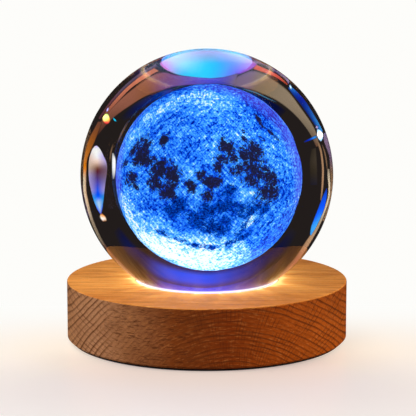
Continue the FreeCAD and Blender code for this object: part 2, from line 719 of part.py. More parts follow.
def switch_body():
    """Side-acting push switch soldered to the charging board."""
    front = switch_front_y()
    body = block(
        button_x, front - SWITCH_DEPTH / 2, charge_board_top, SWITCH_WIDTH, SWITCH_DEPTH, SWITCH_HEIGHT
    )
    bore_depth = 2 * BUTTON_TRAVEL + PLUNGER_PLAY
    bore = rod(PLUNGER_DIAMETER / 2 + PLUNGER_PLAY, button_x, inlet_z, front - bore_depth, front)
    return body.cut(bore)


def indicator_lens():
    """Clear pin that carries the charging light to the panel's face."""
    back = charge_board_outer_y() - INDICATOR_LED_EDGE + INDICATOR_GAP
    return rod(INDICATOR_DIAMETER / 2, indicator_x, inlet_z, back, on_circle(panel_face_r, indicator_x))


def indicator_led():
    y = charge_board_outer_y() - INDICATOR_LED_EDGE - INDICATOR_LED_SIDE / 2
    side = INDICATOR_LED_SIDE
    return block(indicator_x, y, charge_board_top, side, side, INDICATOR_LED_HEIGHT)


# ================================================================ writing the pieces
PIECES = {
    "glass_ball": glass_ball,
    "engraved_moon": engraved_moon,
    "seat_ring": seat_ring,
    "light_window": light_window,
    "reflector_ring": reflector_ring,
    "warm_leds": warm_leds,
    "blue_leds": blue_leds,
    "led_board": led_board,
    "board_screws": board_screws,
    "wood_base": wood_base,
    "anti_slip_pad": anti_slip_pad,
    "bottom_cover": bottom_cover,
    "cover_screws": cover_screws,
    "battery_pad": battery_pad,
    "battery_cell": battery_cell,
    "battery_connector": battery_connector,
    "battery_leads": battery_leads,
    "led_leads": led_leads,
    "charge_board": charge_board,
    "charge_board_screws": charge_board_screws,
    "charge_chip": charge_chip,
    "charge_coil": charge_coil,
    "usb_socket": usb_socket,
    "usb_tongue": usb_tongue,
    "rear_panel": rear_panel,
    "button_cap": button_cap,
    "switch_plunger": switch_plunger,
    "switch_body": switch_body,
    "indicator_lens": indicator_lens,
    "indicator_led": indicator_led,
}


def main():
    os.makedirs("parts", exist_ok=True)
    for name, make in PIECES.items():
        shape = make()
        if not shape.isValid() or shape.Volume <= 0:
            raise ValueError(f"{name} did not come out as a sound solid")
        shape.exportStep(f"parts/{name}.step")
        print(f"{name}: {len(shape.Solids)} solid(s), {shape.Volume:.1f} mm3")
    print(f"base {2 * base_r:.2f} x {base_top:.2f}, ball centre {ball_z:.2f}, seat bore {2 * bore_r:.2f}")


main()
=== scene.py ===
import json
import math
import random

import bmesh
import bpy
from mathutils import Matrix, Vector, noise

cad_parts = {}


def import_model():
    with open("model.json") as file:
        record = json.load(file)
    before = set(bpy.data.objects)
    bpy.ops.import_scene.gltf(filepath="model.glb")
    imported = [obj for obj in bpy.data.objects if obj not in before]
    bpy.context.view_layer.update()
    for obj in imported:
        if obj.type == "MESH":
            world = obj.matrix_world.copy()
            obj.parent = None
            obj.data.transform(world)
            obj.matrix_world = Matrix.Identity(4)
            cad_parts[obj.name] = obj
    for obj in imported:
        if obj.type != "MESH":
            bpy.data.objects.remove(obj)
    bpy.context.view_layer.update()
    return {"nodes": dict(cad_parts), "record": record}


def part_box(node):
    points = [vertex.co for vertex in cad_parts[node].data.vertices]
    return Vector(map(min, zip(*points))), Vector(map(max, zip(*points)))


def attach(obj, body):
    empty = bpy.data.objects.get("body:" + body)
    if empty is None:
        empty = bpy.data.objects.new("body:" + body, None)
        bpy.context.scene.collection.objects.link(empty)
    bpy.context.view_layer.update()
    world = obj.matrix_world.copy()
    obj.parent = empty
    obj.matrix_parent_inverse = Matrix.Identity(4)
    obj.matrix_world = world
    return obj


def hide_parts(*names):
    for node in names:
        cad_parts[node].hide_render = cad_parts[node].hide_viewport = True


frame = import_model()

MM = 0.001
GLASS_IOR = 1.5168

# Sizes, as the frame gives them
BALL_LOW, BALL_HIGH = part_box("glass_ball")
BALL_R = (BALL_HIGH.x - BALL_LOW.x) / 2
BALL_CENTRE = Vector((0, 0, BALL_HIGH.z - BALL_R))
FLAT_Z = BALL_LOW.z
MOON_LOW, MOON_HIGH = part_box("engraved_moon")
MOON_R = (MOON_HIGH.z - MOON_LOW.z) / 2
MOON_CENTRE = (MOON_LOW + MOON_HIGH) / 2
WOOD_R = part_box("wood_base")[1].x
WOOD_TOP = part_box("wood_base")[1].z
GLOW_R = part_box("seat_ring")[1].x

# The blue LEDs, and the colours that they throw on the ball's flat
BLUE_LEDS = 4
BLUE_LED_SIDE = 3.2               # mm
FOOT_R = 20.0                     # mm, the scale of those colours

# The lit glass between the ball's flat and the moon
BEAM_LOW = FLAT_Z + 0.1 * MM
BEAM_HIGH = MOON_LOW.z + 5 * MM
BEAM_R = 15 * MM
BEAM_GLOW = 15.0

# How fine the meshes are
BALL_RINGS, BALL_SIDES = 220, 256
BALL_BEVEL = 0.5 * MM
BEAM_SIDES = 96
MOON_SUBDIVISIONS = 7

# Camera, as fitted to the outlines of ball and base
PHOTO_SIZE = 416
SENSOR = 36.0
CAMERA_PLACE = (0.000363, -0.60327, 0.14832)
CAMERA_TILT = math.radians(80.007)
CAMERA_LENS = 166.7
CAMERA_FORWARD = Vector((0, math.sin(CAMERA_TILT), -math.cos(CAMERA_TILT)))
CAMERA_UP = Vector((0, math.cos(CAMERA_TILT), math.sin(CAMERA_TILT)))

# The photo's moon, in its pixels: the disc that the ball shows, and what is on it
MOON_DISC = (208.8, 178.0)
MOON_DISC_R = 93.8
# x, y, half width, half height, how strongly
BLACK_MARIA = [
    (139, 147, 7, 7, 0.9), (143, 155, 9, 11, 1), (150, 163, 7, 6, 0.9), (165.5, 142, 5, 6, 1),
    (163, 172, 14, 10, 1), (172, 180, 12, 12, 1), (158, 186, 9, 9, 0.9), (168, 194, 8, 10, 0.9),
    (126, 165, 3, 4, 0.7), (132, 180, 6, 8, 0.85), (137, 188, 4, 4, 0.7),
    (191, 188, 6, 7, 0.9), (201, 177, 6, 5, 0.9), (212, 184, 10, 7, 1), (208, 198, 7, 6, 0.9),
    (227, 150, 10, 9, 1), (222, 162, 8, 7, 0.8), (217, 170, 6, 5, 0.8), (236, 160, 8, 7, 0.8),
    (246, 158, 11, 9, 0.9), (255, 153, 9, 9, 1), (259, 163, 8, 6, 0.8), (238, 172, 11, 7, 0.8),
    (256, 172, 13, 8, 0.9), (250, 182, 10, 7, 0.8), (268, 178, 9, 9, 0.9), (273, 190, 6, 13, 1),
    (263, 196, 9, 9, 0.8), (256.7, 119.5, 2.6, 3.4, 0.8), (260, 127, 2.8, 3.2, 0.8),
    (268.7, 134, 3.4, 3.2, 0.8), (243, 134, 2.6, 2.6, 0.7), (243.7, 141.8, 3.2, 2.8, 0.8),
    (261, 141, 2.6, 2.4, 0.7), (278, 141.8, 2.4, 2.6, 0.6), (253, 145, 3, 2.6, 0.7),
]
NAVY_MARIA = [
    (180, 206, 11, 9, 0.9), (172, 214, 8, 7, 0.8), (190, 216, 9, 8, 0.8), (200, 224, 12, 9, 0.8),
    (216, 228, 15, 11, 0.85), (208, 210, 10, 7, 0.9), (225, 207, 10, 8, 0.85), (228, 194, 8, 7, 0.7),
    (240, 212, 9, 9, 0.7), (243, 232, 9, 10, 0.7), (252, 208, 9, 9, 0.65), (262, 212, 8, 9, 0.55),
    (164, 234, 6, 3, 0.65), (196, 246, 10, 2.6, 0.65), (213, 248, 9, 2.6, 0.7), (229, 245, 5, 4, 0.7),
    (180, 240, 6, 2.4, 0.6),
]
# bright marks: partly the moon's bright ground and craters, partly painted light, whitest along its bottom
# nearest the LEDs
BRIGHTS = [
    (185, 258, 58, 16, 1), (160, 251, 28, 9, 0.75), (150, 241, 14, 6, 0.25), (215, 102, 24, 12, 0.55),
    (185, 98, 20, 9, 0.22), (152, 117, 16, 8, 0.26), (249, 222, 5, 5, 0.6), (248, 197, 8, 6, 0.4),
    (128, 214, 6, 12, 0.1), (286, 165, 8, 16, 0.2), (127, 222, 3, 10, 0.4), (140, 243, 5, 7, 0.5),
]
# painted shade: where the moon is darker, most of all along its upper rim
SHADES = [
    (208, 87, 60, 5, 1), (245, 97, 22, 8, 0.8), (165, 98, 20, 7, 0.6), (232, 118, 24, 12, 0.35),
    (262, 112, 14, 10, 0.55), (282, 140, 12, 24, 0.35), (128, 136, 8, 12, 0.35), (150, 212, 24, 20, 0.35),
    (168, 124, 22, 14, 0.2),
]
VIOLETS = [
    (117, 172, 5, 30, 0.8), (124, 140, 6, 14, 0.4), (294, 148, 8, 28, 0.7), (277, 113, 15, 13, 0.8),
    (300, 182, 4, 28, 0.7), (250, 98, 24, 8, 0.6), (288, 220, 8, 18, 0.2),
]


# ---- meshes ----

def linked(name, data):
    made = bpy.data.objects.new(name, data)
    bpy.context.scene.collection.objects.link(made)
    return made


def mesh_object(name, shape):
    mesh = bpy.data.meshes.new(name)
    for face in shape.faces:
        face.smooth = True
    shape.to_mesh(mesh)
    shape.free()
    return linked(name, mesh)


def revolve(profile, sides):
    """A closed form turned about Z. profile runs from top pole to bottom pole, as (radius, height)."""
    shape = bmesh.new()
    top = shape.verts.new((0, 0, profile[0][1]))
    bottom = shape.verts.new((0, 0, profile[-1][1]))
    rings = []
    for radius, height in profile[1:-1]:
        ring = []
        for side in range(sides):
            angle = 2 * math.pi * side / sides
            ring.append(shape.verts.new((radius * math.cos(angle), radius * math.sin(angle), height)))
        rings.append(ring)
    for side in range(sides):
        after = (side + 1) % sides
        shape.faces.new((top, rings[0][side], rings[0][after]))
        for upper, lower in zip(rings, rings[1:]):
            shape.faces.new((upper[side], lower[side], lower[after], upper[after]))
        shape.faces.new((rings[-1][side], bottom, rings[-1][after]))
    return shape


# ---- materials ----

def plug(socket, value):
    if isinstance(value, bpy.types.NodeSocket):
        socket.id_data.links.new(value, socket)
    elif isinstance(value, tuple) and len(value) == 3 and socket.type == "RGBA":
        socket.default_value = (*value, 1)
    else:
        socket.default_value = value


def add(tree, kind, inputs=None, **settings):
    made = tree.nodes.new("ShaderNode" + kind)
    for name, value in settings.items():
        setattr(made, name, value)
    for name, value in (inputs or {}).items():
        plug(made.inputs[name], value)
    return made


def tree_of(*values):
    """The node tree that the sockets among some values belong to."""
    return next(value.id_data for value in values if isinstance(value, bpy.types.NodeSocket))


def calc(operation, *values):
    return add(tree_of(*values), "Math", dict(enumerate(values)), operation=operation).outputs[0]


def times(first, *others):
    for other in others:
        first = calc("MULTIPLY", first, other)
    return first


def plus(first, *others):
    for other in others:
        first = calc("ADD", first, other)
    return first


def minus(first, *others):
    for other in others:
        first = calc("SUBTRACT", first, other)
    return first


def length(first, second):
    return calc("POWER", plus(times(first, first), times(second, second)), 0.5)


def mix(share, first, second):
    inputs = {0: share, 6: first, 7: second}
    return add(tree_of(share, first, second), "Mix", inputs, data_type="RGBA").outputs[2]


def step(value, low, high, to_low=0.0, to_high=1.0):
    inputs = dict(enumerate((value, low, high, to_low, to_high)))
    return add(value.id_data, "MapRange", inputs, interpolation_type="SMOOTHSTEP").outputs[0]


def ramp(value, stops):
    made = add(value.id_data, "ValToRGB", {"Fac": value})
    points = made.color_ramp.elements
    while len(points) < len(stops):
        points.new(0.5)
    for point, (where, colour) in zip(points, stops):
        point.position = where
        point.color = (*colour, 1)
    return made.outputs[0]


def place(tree, scale=(1, 1, 1), turn=(0, 0, 0)):
    """Object coordinates in millimetres, then scaled and turned."""
    here = add(tree, "TexCoord").outputs["Object"]
    made = add(tree, "Mapping", {"Vector": here, "Rotation": turn}, vector_type="POINT")
    made.inputs["Scale"].default_value = [s / MM for s in scale]
    return made.outputs[0]


def grain(vector, scale, detail=4, rough=0.55, distortion=0):
    inputs = {"Vector": vector, "Scale": scale, "Detail": detail, "Roughness": rough,
              "Distortion": distortion}
    return add(vector.id_data, "TexNoise", inputs).outputs["Fac"]


def bump(height, depth):
    """depth is the height of a step from 0 to 1, in mm."""
    return add(height.id_data, "Bump", {"Height": height, "Distance": depth * MM, "Strength": 1.0}).outputs[0]


def parts_of(vector):
    outputs = add(vector.id_data, "SeparateXYZ", {"Vector": vector}).outputs
    return outputs["X"], outputs["Y"], outputs["Z"]


def joined(x, y, z):
    return add(tree_of(x, y, z), "CombineXYZ", {"X": x, "Y": y, "Z": z}).outputs[0]


def distance_from_axis(tree):
    across, along, _ = parts_of(place(tree))
    return length(across, along)


def bare_tree(made):
    made.use_nodes = True
    made.node_tree.nodes.clear()
    return made.node_tree


def material(name, fixed=None):
    """A new material, with fixed values on its shader's own sockets."""
    made = bpy.data.materials.new(name)
    made.use_nodes = True
    shader = made.node_tree.nodes["Principled BSDF"].inputs
    for socket, value in (fixed or {}).items():
        plug(shader[socket], value)
    return made, made.node_tree, shader


def uneven_gloss(shader, pattern, low, high):
    plug(shader["Roughness"], step(pattern, 0.3, 0.7, low, high))


def moulded(name, colour, rough, scale, depth, vary, coat=0.0):
    """A plain-coloured stuff with a fine surface: mottled colour, uneven gloss and small bumps."""
    made, tree, shader = material(name, {"Coat Weight": coat})
    fine = grain(place(tree), scale)
    wide = grain(place(tree), 0.12, 2)
    dark = tuple(c * (1 - vary) for c in colour)
    light = tuple(min(1, c * (1 + vary)) for c in colour)
    plug(shader["Base Color"], mix(step(fine, 0.3, 0.7), dark, light))
    uneven_gloss(shader, wide, rough * 0.85, min(1, rough * 1.15))
    plug(shader["Normal"], bump(fine, depth))
    return made


def drawn_metal(name, colour, rough, line):
    """Turned or drawn metal: fine parallel marks."""
    made, tree, shader = material(name, {"Metallic": 1.0})
    marks = grain(place(tree, line), 1.0, 3, 0.6)
    plug(shader["Base Color"], mix(marks, tuple(c * 0.85 for c in colour), colour))
    uneven_gloss(shader, marks, rough * 0.8, rough * 1.25)
    plug(shader["Normal"], bump(marks, 0.008))
    return made


def lit(name, colour, glow, strength, rough):
    """A lamp part: matt stuff that gives light, a little unevenly."""
    made, tree, shader = material(name, {"Base Color": colour, "Emission Strength": strength})
    uneven = grain(place(tree), 0.6, 3)
    uneven_gloss(shader, uneven, rough * 0.9, rough * 1.1)
    plug(shader["Emission Color"], mix(uneven, tuple(c * 0.9 for c in glow), glow))
    return made


def clear_glass():
    made, tree, shader = material("clear_glass", {
        "Base Color": (1, 1, 1), "Roughness": 0.0, "IOR": GLASS_IOR, "Transmission Weight": 1.0,
        "Specular IOR Level": 0.0})
    # light that the glass picks up where it stands in the glowing seat
    high = parts_of(place(tree))[2]
    contact = WOOD_TOP / MM
    above = step(high, contact - 0.5, contact - 0.1)
    white = times(above, step(high, contact + 0.2, contact + 1.0, 1, 0))
    violet = times(above, step(high, contact + 0.4, contact + 3.5, 1, 0))
    plug(shader["Emission Color"], mix(white, (0.2, 0.06, 1.0), (1.0, 0.84, 0.6)))
    plug(shader["Emission Strength"], plus(times(white, 0.9), times(violet, 0.14)))
    return made


def ground_foot():
    """The ball's flat, lit from below: blue-cyan, more violet towards its edge."""
    made, tree, shader = material("ground_foot", {"Base Color": (0.8, 0.85, 0.9)})
    uneven = grain(place(tree), 0.12, 2)
    across = plus(distance_from_axis(tree), times(uneven, 1.5))
    colour = ramp(calc("DIVIDE", across, FOOT_R), [
        (0.25, (0.06, 0.45, 1.0)), (0.33, (0.02, 0.55, 1.0)), (0.42, (0.0, 0.6, 1.0)),
        (0.66, (0.0, 0.62, 1.0)), (0.78, (0.02, 0.45, 1.0)), (0.9, (0.14, 0.3, 1.0))])
    uneven_gloss(shader, uneven, 0.5, 0.7)
    plug(shader["Emission Color"], colour)
    plug(shader["Emission Strength"], step(across, 3.0, 13.0, 1.8, 3.6))
    return made


def light_in_glass():
    """The beam between foot and moon, as fine dust in the glass shows it: deep blue, fainter upward."""
    made = bpy.data.materials.new("light_in_glass")
    tree = bare_tree(made)
    high = parts_of(place(tree))[2]
    share = step(high, BEAM_LOW / MM, BEAM_HIGH / MM)
    colour = ramp(share, [(0.0, (0.03, 0.02, 1.0)), (0.4, (0.0, 0.02, 1.0)), (1.0, (0.0, 0.04, 0.8))])
    soft = step(distance_from_axis(tree), BEAM_R / MM * 0.55, BEAM_R / MM, 1.0, 0.0)
    strength = times(minus(1.25, share), soft, BEAM_GLOW)
    light = add(tree, "Emission", {"Color": colour, "Strength": strength})
    end = add(tree, "OutputMaterial")
    tree.links.new(light.outputs[0], end.inputs["Volume"])
    return made


def engraving():
    """The laser-made points of the moon, lit from below."""
    made, tree, shader = material("engraving", {"Emission Strength": 0.95, "Specular IOR Level": 0.0})
    here = place(tree)
    marks = {name: add(tree, "Attribute", attribute_name=name).outputs["Fac"]
             for name in ("deep", "navy", "bright", "shade", "violet")}
    ragged = grain(here, 0.42, 6, 0.72)
    worms = grain(here, 1.5, 3, 0.6, 1.8)
    dots = grain(place(tree, (1, 1, 1), (0.6, 0.4, 0.8)), 2.4, 2, 0.5)
    patches = grain(here, 0.11, 4, 0.6)
    # the laser works in fine crossed lines, which show in places
    right, depth, up = parts_of(here)
    rising, falling = plus(right, up), minus(right, up)
    lines, strokes = [], []
    for along, across in ((rising, falling), (falling, rising)):
        lines.append(calc("SINE", times(along, 9.5)))
        at = joined(times(along, 0.3), depth, times(across, 1.45))
        strokes.append(grain(at, 1.0, 2, 0.5))
    hatch = times(plus(*lines), step(patches, 0.42, 0.6, 0.0, 0.07))

    def weighed(value, weight):
        return times(minus(value, 0.5), weight)

    def outline(mark, low):
        edge = plus(mark, weighed(ragged, 2.9), weighed(dots, 1.6), weighed(worms, 1.8))
        # nothing dark where there is no mark at all
        return times(step(edge, low, low + 0.07), step(mark, 0.02, 0.12))

    # painted light and painted shade: the bright and shade marks raise and lower the moon's tone
    tone = minus(plus(0.4, times(marks["bright"], 0.66)), times(marks["shade"], 0.24))
    tone = plus(tone, weighed(worms, 1.5), weighed(dots, 0.7), weighed(strokes[0], 1.0),
                weighed(strokes[1], 1.0), weighed(patches, 0.9), hatch)
    high = ramp(calc("DIVIDE", tone, 1.25), [
        (0.04, (0.0, 0.012, 0.3)), (0.16, (0.0, 0.06, 0.8)), (0.34, (0.018, 0.23, 1.06)),
        (0.54, (0.08, 0.46, 1.1)), (0.7, (0.34, 0.8, 1.1)), (0.84, (1.1, 1.1, 1.1))])
    high = mix(times(marks["violet"], 0.55), high, (0.15, 0.11, 0.86))
    black = mix(step(worms, 0.54, 0.68), (0.011, 0.011, 0.034), (0.012, 0.03, 0.2))
    navy = mix(step(worms, 0.44, 0.62), (0.0, 0.005, 0.09), (0.0, 0.08, 0.66))
    colour = mix(outline(marks["navy"], 0.42), high, navy)
    colour = mix(outline(marks["deep"], 0.44), colour, black)
    plug(shader["Emission Color"], colour)
    plug(shader["Base Color"], mix(0.6, colour, (0, 0, 0)))
    uneven_gloss(shader, worms, 0.7, 0.95)
    return made


PITH_X, PITH_Z = 7.0, -22.0       # the tree's middle, in mm: growth rings run round a line along Y
RING_WIDTH = 1.4
RAYS_IN_TURN = 34.0
MOST_GLOW = 1.3


def beech():
    """Oiled beech: growth rings, rays square to them, flecks and fine pores, painted light and shade along
    the sides, and warm light from the seat.
    """
    made, tree, shader = material("beech", {"Specular IOR Level": 0.1})
    across, depth, height = parts_of(place(tree))
    top_face = step(parts_of(add(tree, "TexCoord").outputs["Normal"])[2], 0.4, 0.8)
    broad = grain(place(tree, (1, 0.4, 1)), 0.07, 3, 0.5)
    sway = add(tree, "TexNoise", {"Vector": place(tree, (1, 0.35, 1)), "Scale": 0.05, "Detail": 2})
    swayed = add(tree, "VectorMath", {0: sway.outputs["Color"], 1: (0.5, 0.5, 0.5)}, operation="SUBTRACT")
    swayed = add(tree, "VectorMath", {0: swayed.outputs[0], "Scale": 3.6}, operation="SCALE")
    sway_x, _, sway_z = parts_of(swayed.outputs[0])
    aside = plus(minus(across, PITH_X), sway_x)
    above = plus(minus(height, PITH_Z), sway_z)
    radius = length(aside, above)
    turn = calc("ARCTAN2", aside, above)

    # sides: growth rings with a sharp late edge, uneven in strength, and rays
    ring_part = calc("FRACT", calc("DIVIDE", radius, RING_WIDTH))
    late = times(step(ring_part, 0.45, 0.88), step(ring_part, 1.0, 0.95))
    uneven = grain(joined(times(radius, 0.5), turn, 0.0), 1.1, 2, 0.5)
    late = times(late, step(uneven, 0.32, 0.6, 0.35, 1.15))
    ray_part = calc("PINGPONG", times(turn, RAYS_IN_TURN), 0.5)
    rays = step(ray_part, 0.15, 0.04)
    ray_at = joined(times(turn, 9.0), times(radius, 0.16), 0.0)
    rays = times(rays, step(grain(ray_at, 1.0, 2, 0.5), 0.4, 0.6))
    # the grain stands open towards both ends, and lies flat and flecked to the left of the middle
    flecked = times(step(across, -34.0, -27.0), step(across, 2.0, -10.0))
    open_grain = minus(1.0, times(flecked, 0.75))
    dashes = grain(place(tree, (0.34, 0.3, 2.9), (0, 0.16, 0)), 1.0, 3, 0.6)
    fleck = times(step(dashes, 0.54, 0.62), step(flecked, 0.0, 1.0, 0.2, 1.0))
    fibre_at = joined(times(radius, 2.2), times(turn, 14.0), depth)
    fibres = grain(fibre_at, 1.0, 4, 0.65)
    # painted light and shade along the sides: paler and greyer to the left and orange to the right, where the
    # lamps fall, darkest at the front middle
    tone = ramp(plus(0.5, calc("DIVIDE", across, 2 * WOOD_R / MM)), [
        (0.0, (0.55, 0.245, 0.1)), (0.11, (0.59, 0.28, 0.13)), (0.23, (0.42, 0.165, 0.062)),
        (0.39, (0.265, 0.058, 0.008)), (0.57, (0.25, 0.04, 0.002)), (0.75, (0.4, 0.076, 0.004)),
        (0.89, (0.5, 0.105, 0.007)), (1.0, (0.54, 0.12, 0.009))])
    side = mix(step(fibres, 0.5, 0.75, 0.0, 0.6), tone, (0.62, 0.22, 0.055))
    side = mix(step(fibres, 0.5, 0.28, 0.0, 0.5), side, (0.12, 0.024, 0.003))
    side = mix(step(broad, 0.62, 0.35, 0.0, 0.3), side, (0.17, 0.04, 0.006))
    side = mix(times(late, open_grain, 0.72), side, (0.115, 0.026, 0.004))
    side = mix(times(rays, open_grain, 0.66), side, (0.1, 0.022, 0.004))
    side = mix(times(fleck, 0.66), side, (0.085, 0.02, 0.004))

    # top: long streaks along X
    streaks = grain(place(tree, (0.045, 0.9, 0.9), (0, 0, 0.1)), 1.0, 5, 0.62)
    pores = grain(place(tree, (0.22, 2.4, 2.4), (0, 0, 0.1)), 1.0, 3, 0.6)
    wide = grain(place(tree, (0.25, 0.8, 0.8), (0, 0, 0.12)), 0.16, 3, 0.5)
    top = mix(step(wide, 0.3, 0.7), (0.62, 0.19, 0.028), (0.84, 0.31, 0.052))
    top = mix(step(streaks, 0.52, 0.74, 0.0, 0.75), top, (0.95, 0.44, 0.12))
    top = mix(step(streaks, 0.48, 0.28, 0.0, 0.8), top, (0.38, 0.105, 0.018))
    top = mix(step(pores, 0.57, 0.68, 0.0, 0.45), top, (0.27, 0.075, 0.016))
    plug(shader["Base Color"], mix(top_face, side, top))
    uneven_gloss(shader, fibres, 0.66, 0.48)
    relief = minus(fibres, times(fleck, 0.7), times(late, 0.35), times(rays, 0.35))
    plug(shader["Normal"], bump(mix(top_face, relief, streaks), 0.09))

    # warm light from the seat lying on the top, streaked by the ball
    out = distance_from_axis(tree)
    angle = calc("ARCTAN2", depth, across)
    round_about = joined(times(angle, 5.0), times(out, 0.05), 0.0)
    ray_of_light = step(grain(round_about, 1.2, 4, 0.6), 0.35, 0.7, 0.55, 1.35)
    beyond = minus(out, GLOW_R / MM)
    aside_of_ball = calc("ABSOLUTE", calc("COSINE", angle))
    near = times(calc("EXPONENT", times(beyond, -0.45)), 0.55, step(aside_of_ball, 0.8, 0.99, 1.0, 2.2))
    wide_glow = times(calc("EXPONENT", times(beyond, -0.105)), 0.62, ray_of_light,
                      step(aside_of_ball, 0.3, 1.0, 1.15, 1.35))
    fall = calc("MINIMUM", times(plus(near, wide_glow), top_face), MOST_GLOW)
    warm = mix(step(streaks, 0.35, 0.65), (0.8, 0.31, 0.045), (1.0, 0.48, 0.11))
    warm = mix(step(fall, 0.7, MOST_GLOW), warm, (1.0, 0.66, 0.22))
    plug(shader["Emission Color"], warm)
    plug(shader["Emission Strength"], fall)
    return made


def warm_diffuser():
    """The seat ring: lit by the LEDs under its outer edge, dim farther in."""
    made, tree, shader = material("warm_diffuser", {"Base Color": (0.9, 0.8, 0.65)})
    uneven = grain(place(tree), 0.6, 3)
    uneven_gloss(shader, uneven, 0.45, 0.55)
    plug(shader["Emission Color"], mix(uneven, (0.95, 0.6, 0.26), (1.0, 0.66, 0.3)))
    rim = GLOW_R / MM
    glow = step(distance_from_axis(tree), rim - 1.1, rim - 0.5, 0.1, 0.7)
    plug(shader["Emission Strength"], glow)
    return made


def frosted_window():
    """The disc under the ball, which shows where the blue LEDs stand under it."""
    made, tree, shader = material("frosted_window", {
        "Base Color": (0.35, 0.48, 0.55), "Emission Strength": 0.8})
    across, along, _ = parts_of(place(tree))
    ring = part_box("blue_leds")[1].x / MM - BLUE_LED_SIDE / 2
    angle = calc("ARCTAN2", along, across)
    lobes = calc("COSINE", times(angle, BLUE_LEDS))
    off_ring = calc("ABSOLUTE", minus(distance_from_axis(tree), ring))
    near = step(off_ring, 0.0, 7.0, 1.0, 0.0)
    share = times(near, step(lobes, -1.0, 1.0, 0.45, 1.0))
    uneven = grain(place(tree), 0.6, 3)
    uneven_gloss(shader, uneven, 0.45, 0.55)
    plug(shader["Emission Color"], mix(share, (0.0, 0.16, 0.75), (0.1, 0.62, 1.0)))
    return made


# Colour, roughness, scale of the grain, height of its bumps in mm, how mottled, and clear coat
MOULDED = {
    "white_plastic": ((0.85, 0.85, 0.83), 0.45, 6, 0.01, 0.03),
    "white_board": ((0.86, 0.88, 0.86), 0.3, 2.5, 0.01, 0.03),
    "black_rubber": ((0.02, 0.02, 0.02), 0.75, 3, 0.04, 0.35),
    "black_plastic": ((0.03, 0.03, 0.033), 0.5, 7, 0.04, 0.25),
    "foam_tape": ((0.78, 0.78, 0.76), 0.95, 5, 0.12, 0.12),
    "cream_plastic": ((0.8, 0.76, 0.62), 0.45, 6, 0.01, 0.05),
    "red_wire": ((0.55, 0.03, 0.025), 0.35, 4, 0.01, 0.1, 0.3),
    "white_wire": ((0.78, 0.78, 0.76), 0.35, 4, 0.01, 0.05, 0.3),
    "green_board": ((0.02, 0.17, 0.06), 0.3, 1.5, 0.02, 0.3, 0.4),
    "chip_black": ((0.025, 0.025, 0.027), 0.55, 9, 0.02, 0.2),
    "ferrite": ((0.09, 0.09, 0.1), 0.6, 5, 0.03, 0.2),
    "button_plastic": ((0.1, 0.1, 0.105), 0.38, 8, 0.02, 0.2),
}
# Colour, roughness, and how close the marks lie along X, Y and Z
METALS = {
    "screw_steel": ((0.62, 0.62, 0.64), 0.3, (3, 3, 3)),
    "black_screw": ((0.07, 0.07, 0.072), 0.42, (3, 3, 3)),
    "cell_foil": ((0.72, 0.73, 0.75), 0.35, (0.2, 2.5, 2.5)),
    "inlet_steel": ((0.75, 0.75, 0.77), 0.28, (0.6, 3, 3)),
}
# Colour, colour of its light, strength and roughness
LAMP_PARTS = {
    "warm_led": ((0.9, 0.75, 0.3), (1.0, 0.7, 0.32), 4.0, 0.3),
    "blue_led": ((0.5, 0.7, 0.9), (0.05, 0.3, 1.0), 6.0, 0.2),
    "clear_pin": ((0.9, 0.92, 0.9), (1.0, 0.55, 0.2), 1.2, 0.15),
}
MATERIALS = {"clear_glass": clear_glass(), "engraving": engraving(), "warm_diffuser": warm_diffuser(),
             "frosted_window": frosted_window(), "beech": beech()}
for table, build in ((MOULDED, moulded), (METALS, drawn_metal), (LAMP_PARTS, lit)):
    MATERIALS.update({name: build(name, *row) for name, row in table.items()})
SLOT_OF = {row["node"]: row["material_slot"] for row in frame["record"]["subparts"]}


def dress(piece, made):
    piece.data.materials.clear()
    piece.data.materials.append(made)


# ---- the ball ----

def crystal_ball():
    rise = BALL_CENTRE.z - FLAT_Z
    last = math.acos(-(rise - BALL_BEVEL) / BALL_R)
    profile = [(0, BALL_CENTRE.z + BALL_R)]
    for ring in range(1, BALL_RINGS + 1):
        angle = last * ring / BALL_RINGS
        profile.append((BALL_R * math.sin(angle), BALL_CENTRE.z + BALL_R * math.cos(angle)))
    rim = math.sqrt(BALL_R ** 2 - rise ** 2) - BALL_BEVEL * 0.3
    profile += [(rim, FLAT_Z), (rim * 0.5, FLAT_Z), (0, FLAT_Z)]
    ball = mesh_object("crystal_ball", revolve(profile, BALL_SIDES))
    ball.data.set_sharp_from_angle(angle=math.radians(15))
    dress(ball, MATERIALS["clear_glass"])
    ball.data.materials.append(ground_foot())
    for face in ball.data.polygons:
        if face.normal.z < -0.99 and face.center.z < FLAT_Z + 0.01 * MM:
            face.material_index = 1
    ball.visible_shadow = False
    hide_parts("glass_ball")
    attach(ball, "ball")


# ---- the moon ----

def moon_direction(x, y):
    """Which way from the moon's centre a point of its disc lies, allowing for the ball's refraction."""
    right = (x - MOON_DISC[0]) / MOON_DISC_R
    up = (MOON_DISC[1] - y) / MOON_DISC_R
    share = min(math.hypot(right, up), 0.999)
    if share < 1e-6:
        return Vector((0, -1, 0))
    offset = share * GLASS_IOR * MOON_R
    away = math.asin(offset / BALL_R) - math.asin(offset / (GLASS_IOR * BALL_R)) + math.asin(share)
    aside = (Vector((1, 0, 0)) * right + CAMERA_UP * up) / share
    return aside * math.sin(away) - CAMERA_FORWARD * math.cos(away)


def spots(table):
    """Directions and angular half sizes of the marks in a table."""
    made = []
    for x, y, wide, tall, amount in table:
        middle = moon_direction(x, y)
        side = (moon_direction(x + wide, y) - moon_direction(x - wide, y)) / 2
        rise = (moon_direction(x, y - tall) - moon_direction(x, y + tall)) / 2
        made.append((middle, side, side.length_squared, rise, rise.length_squared, amount))
    return made


TOO_FAR = 0.6                     # marks end here: a squared distance, in radii of the moon


def strength_at(direction, marks, spread):
    best = 0.0
    for middle, side, side_sq, rise, rise_sq, amount in marks:
        offset = direction - middle
        if offset.length_squared > TOO_FAR:
            continue
        along = offset.dot(side) / side_sq
        upward = offset.dot(rise) / rise_sq
        away = math.hypot(along, upward)
        best = max(best, amount * max(0.0, 1 - (away / spread) ** 2))
    return best


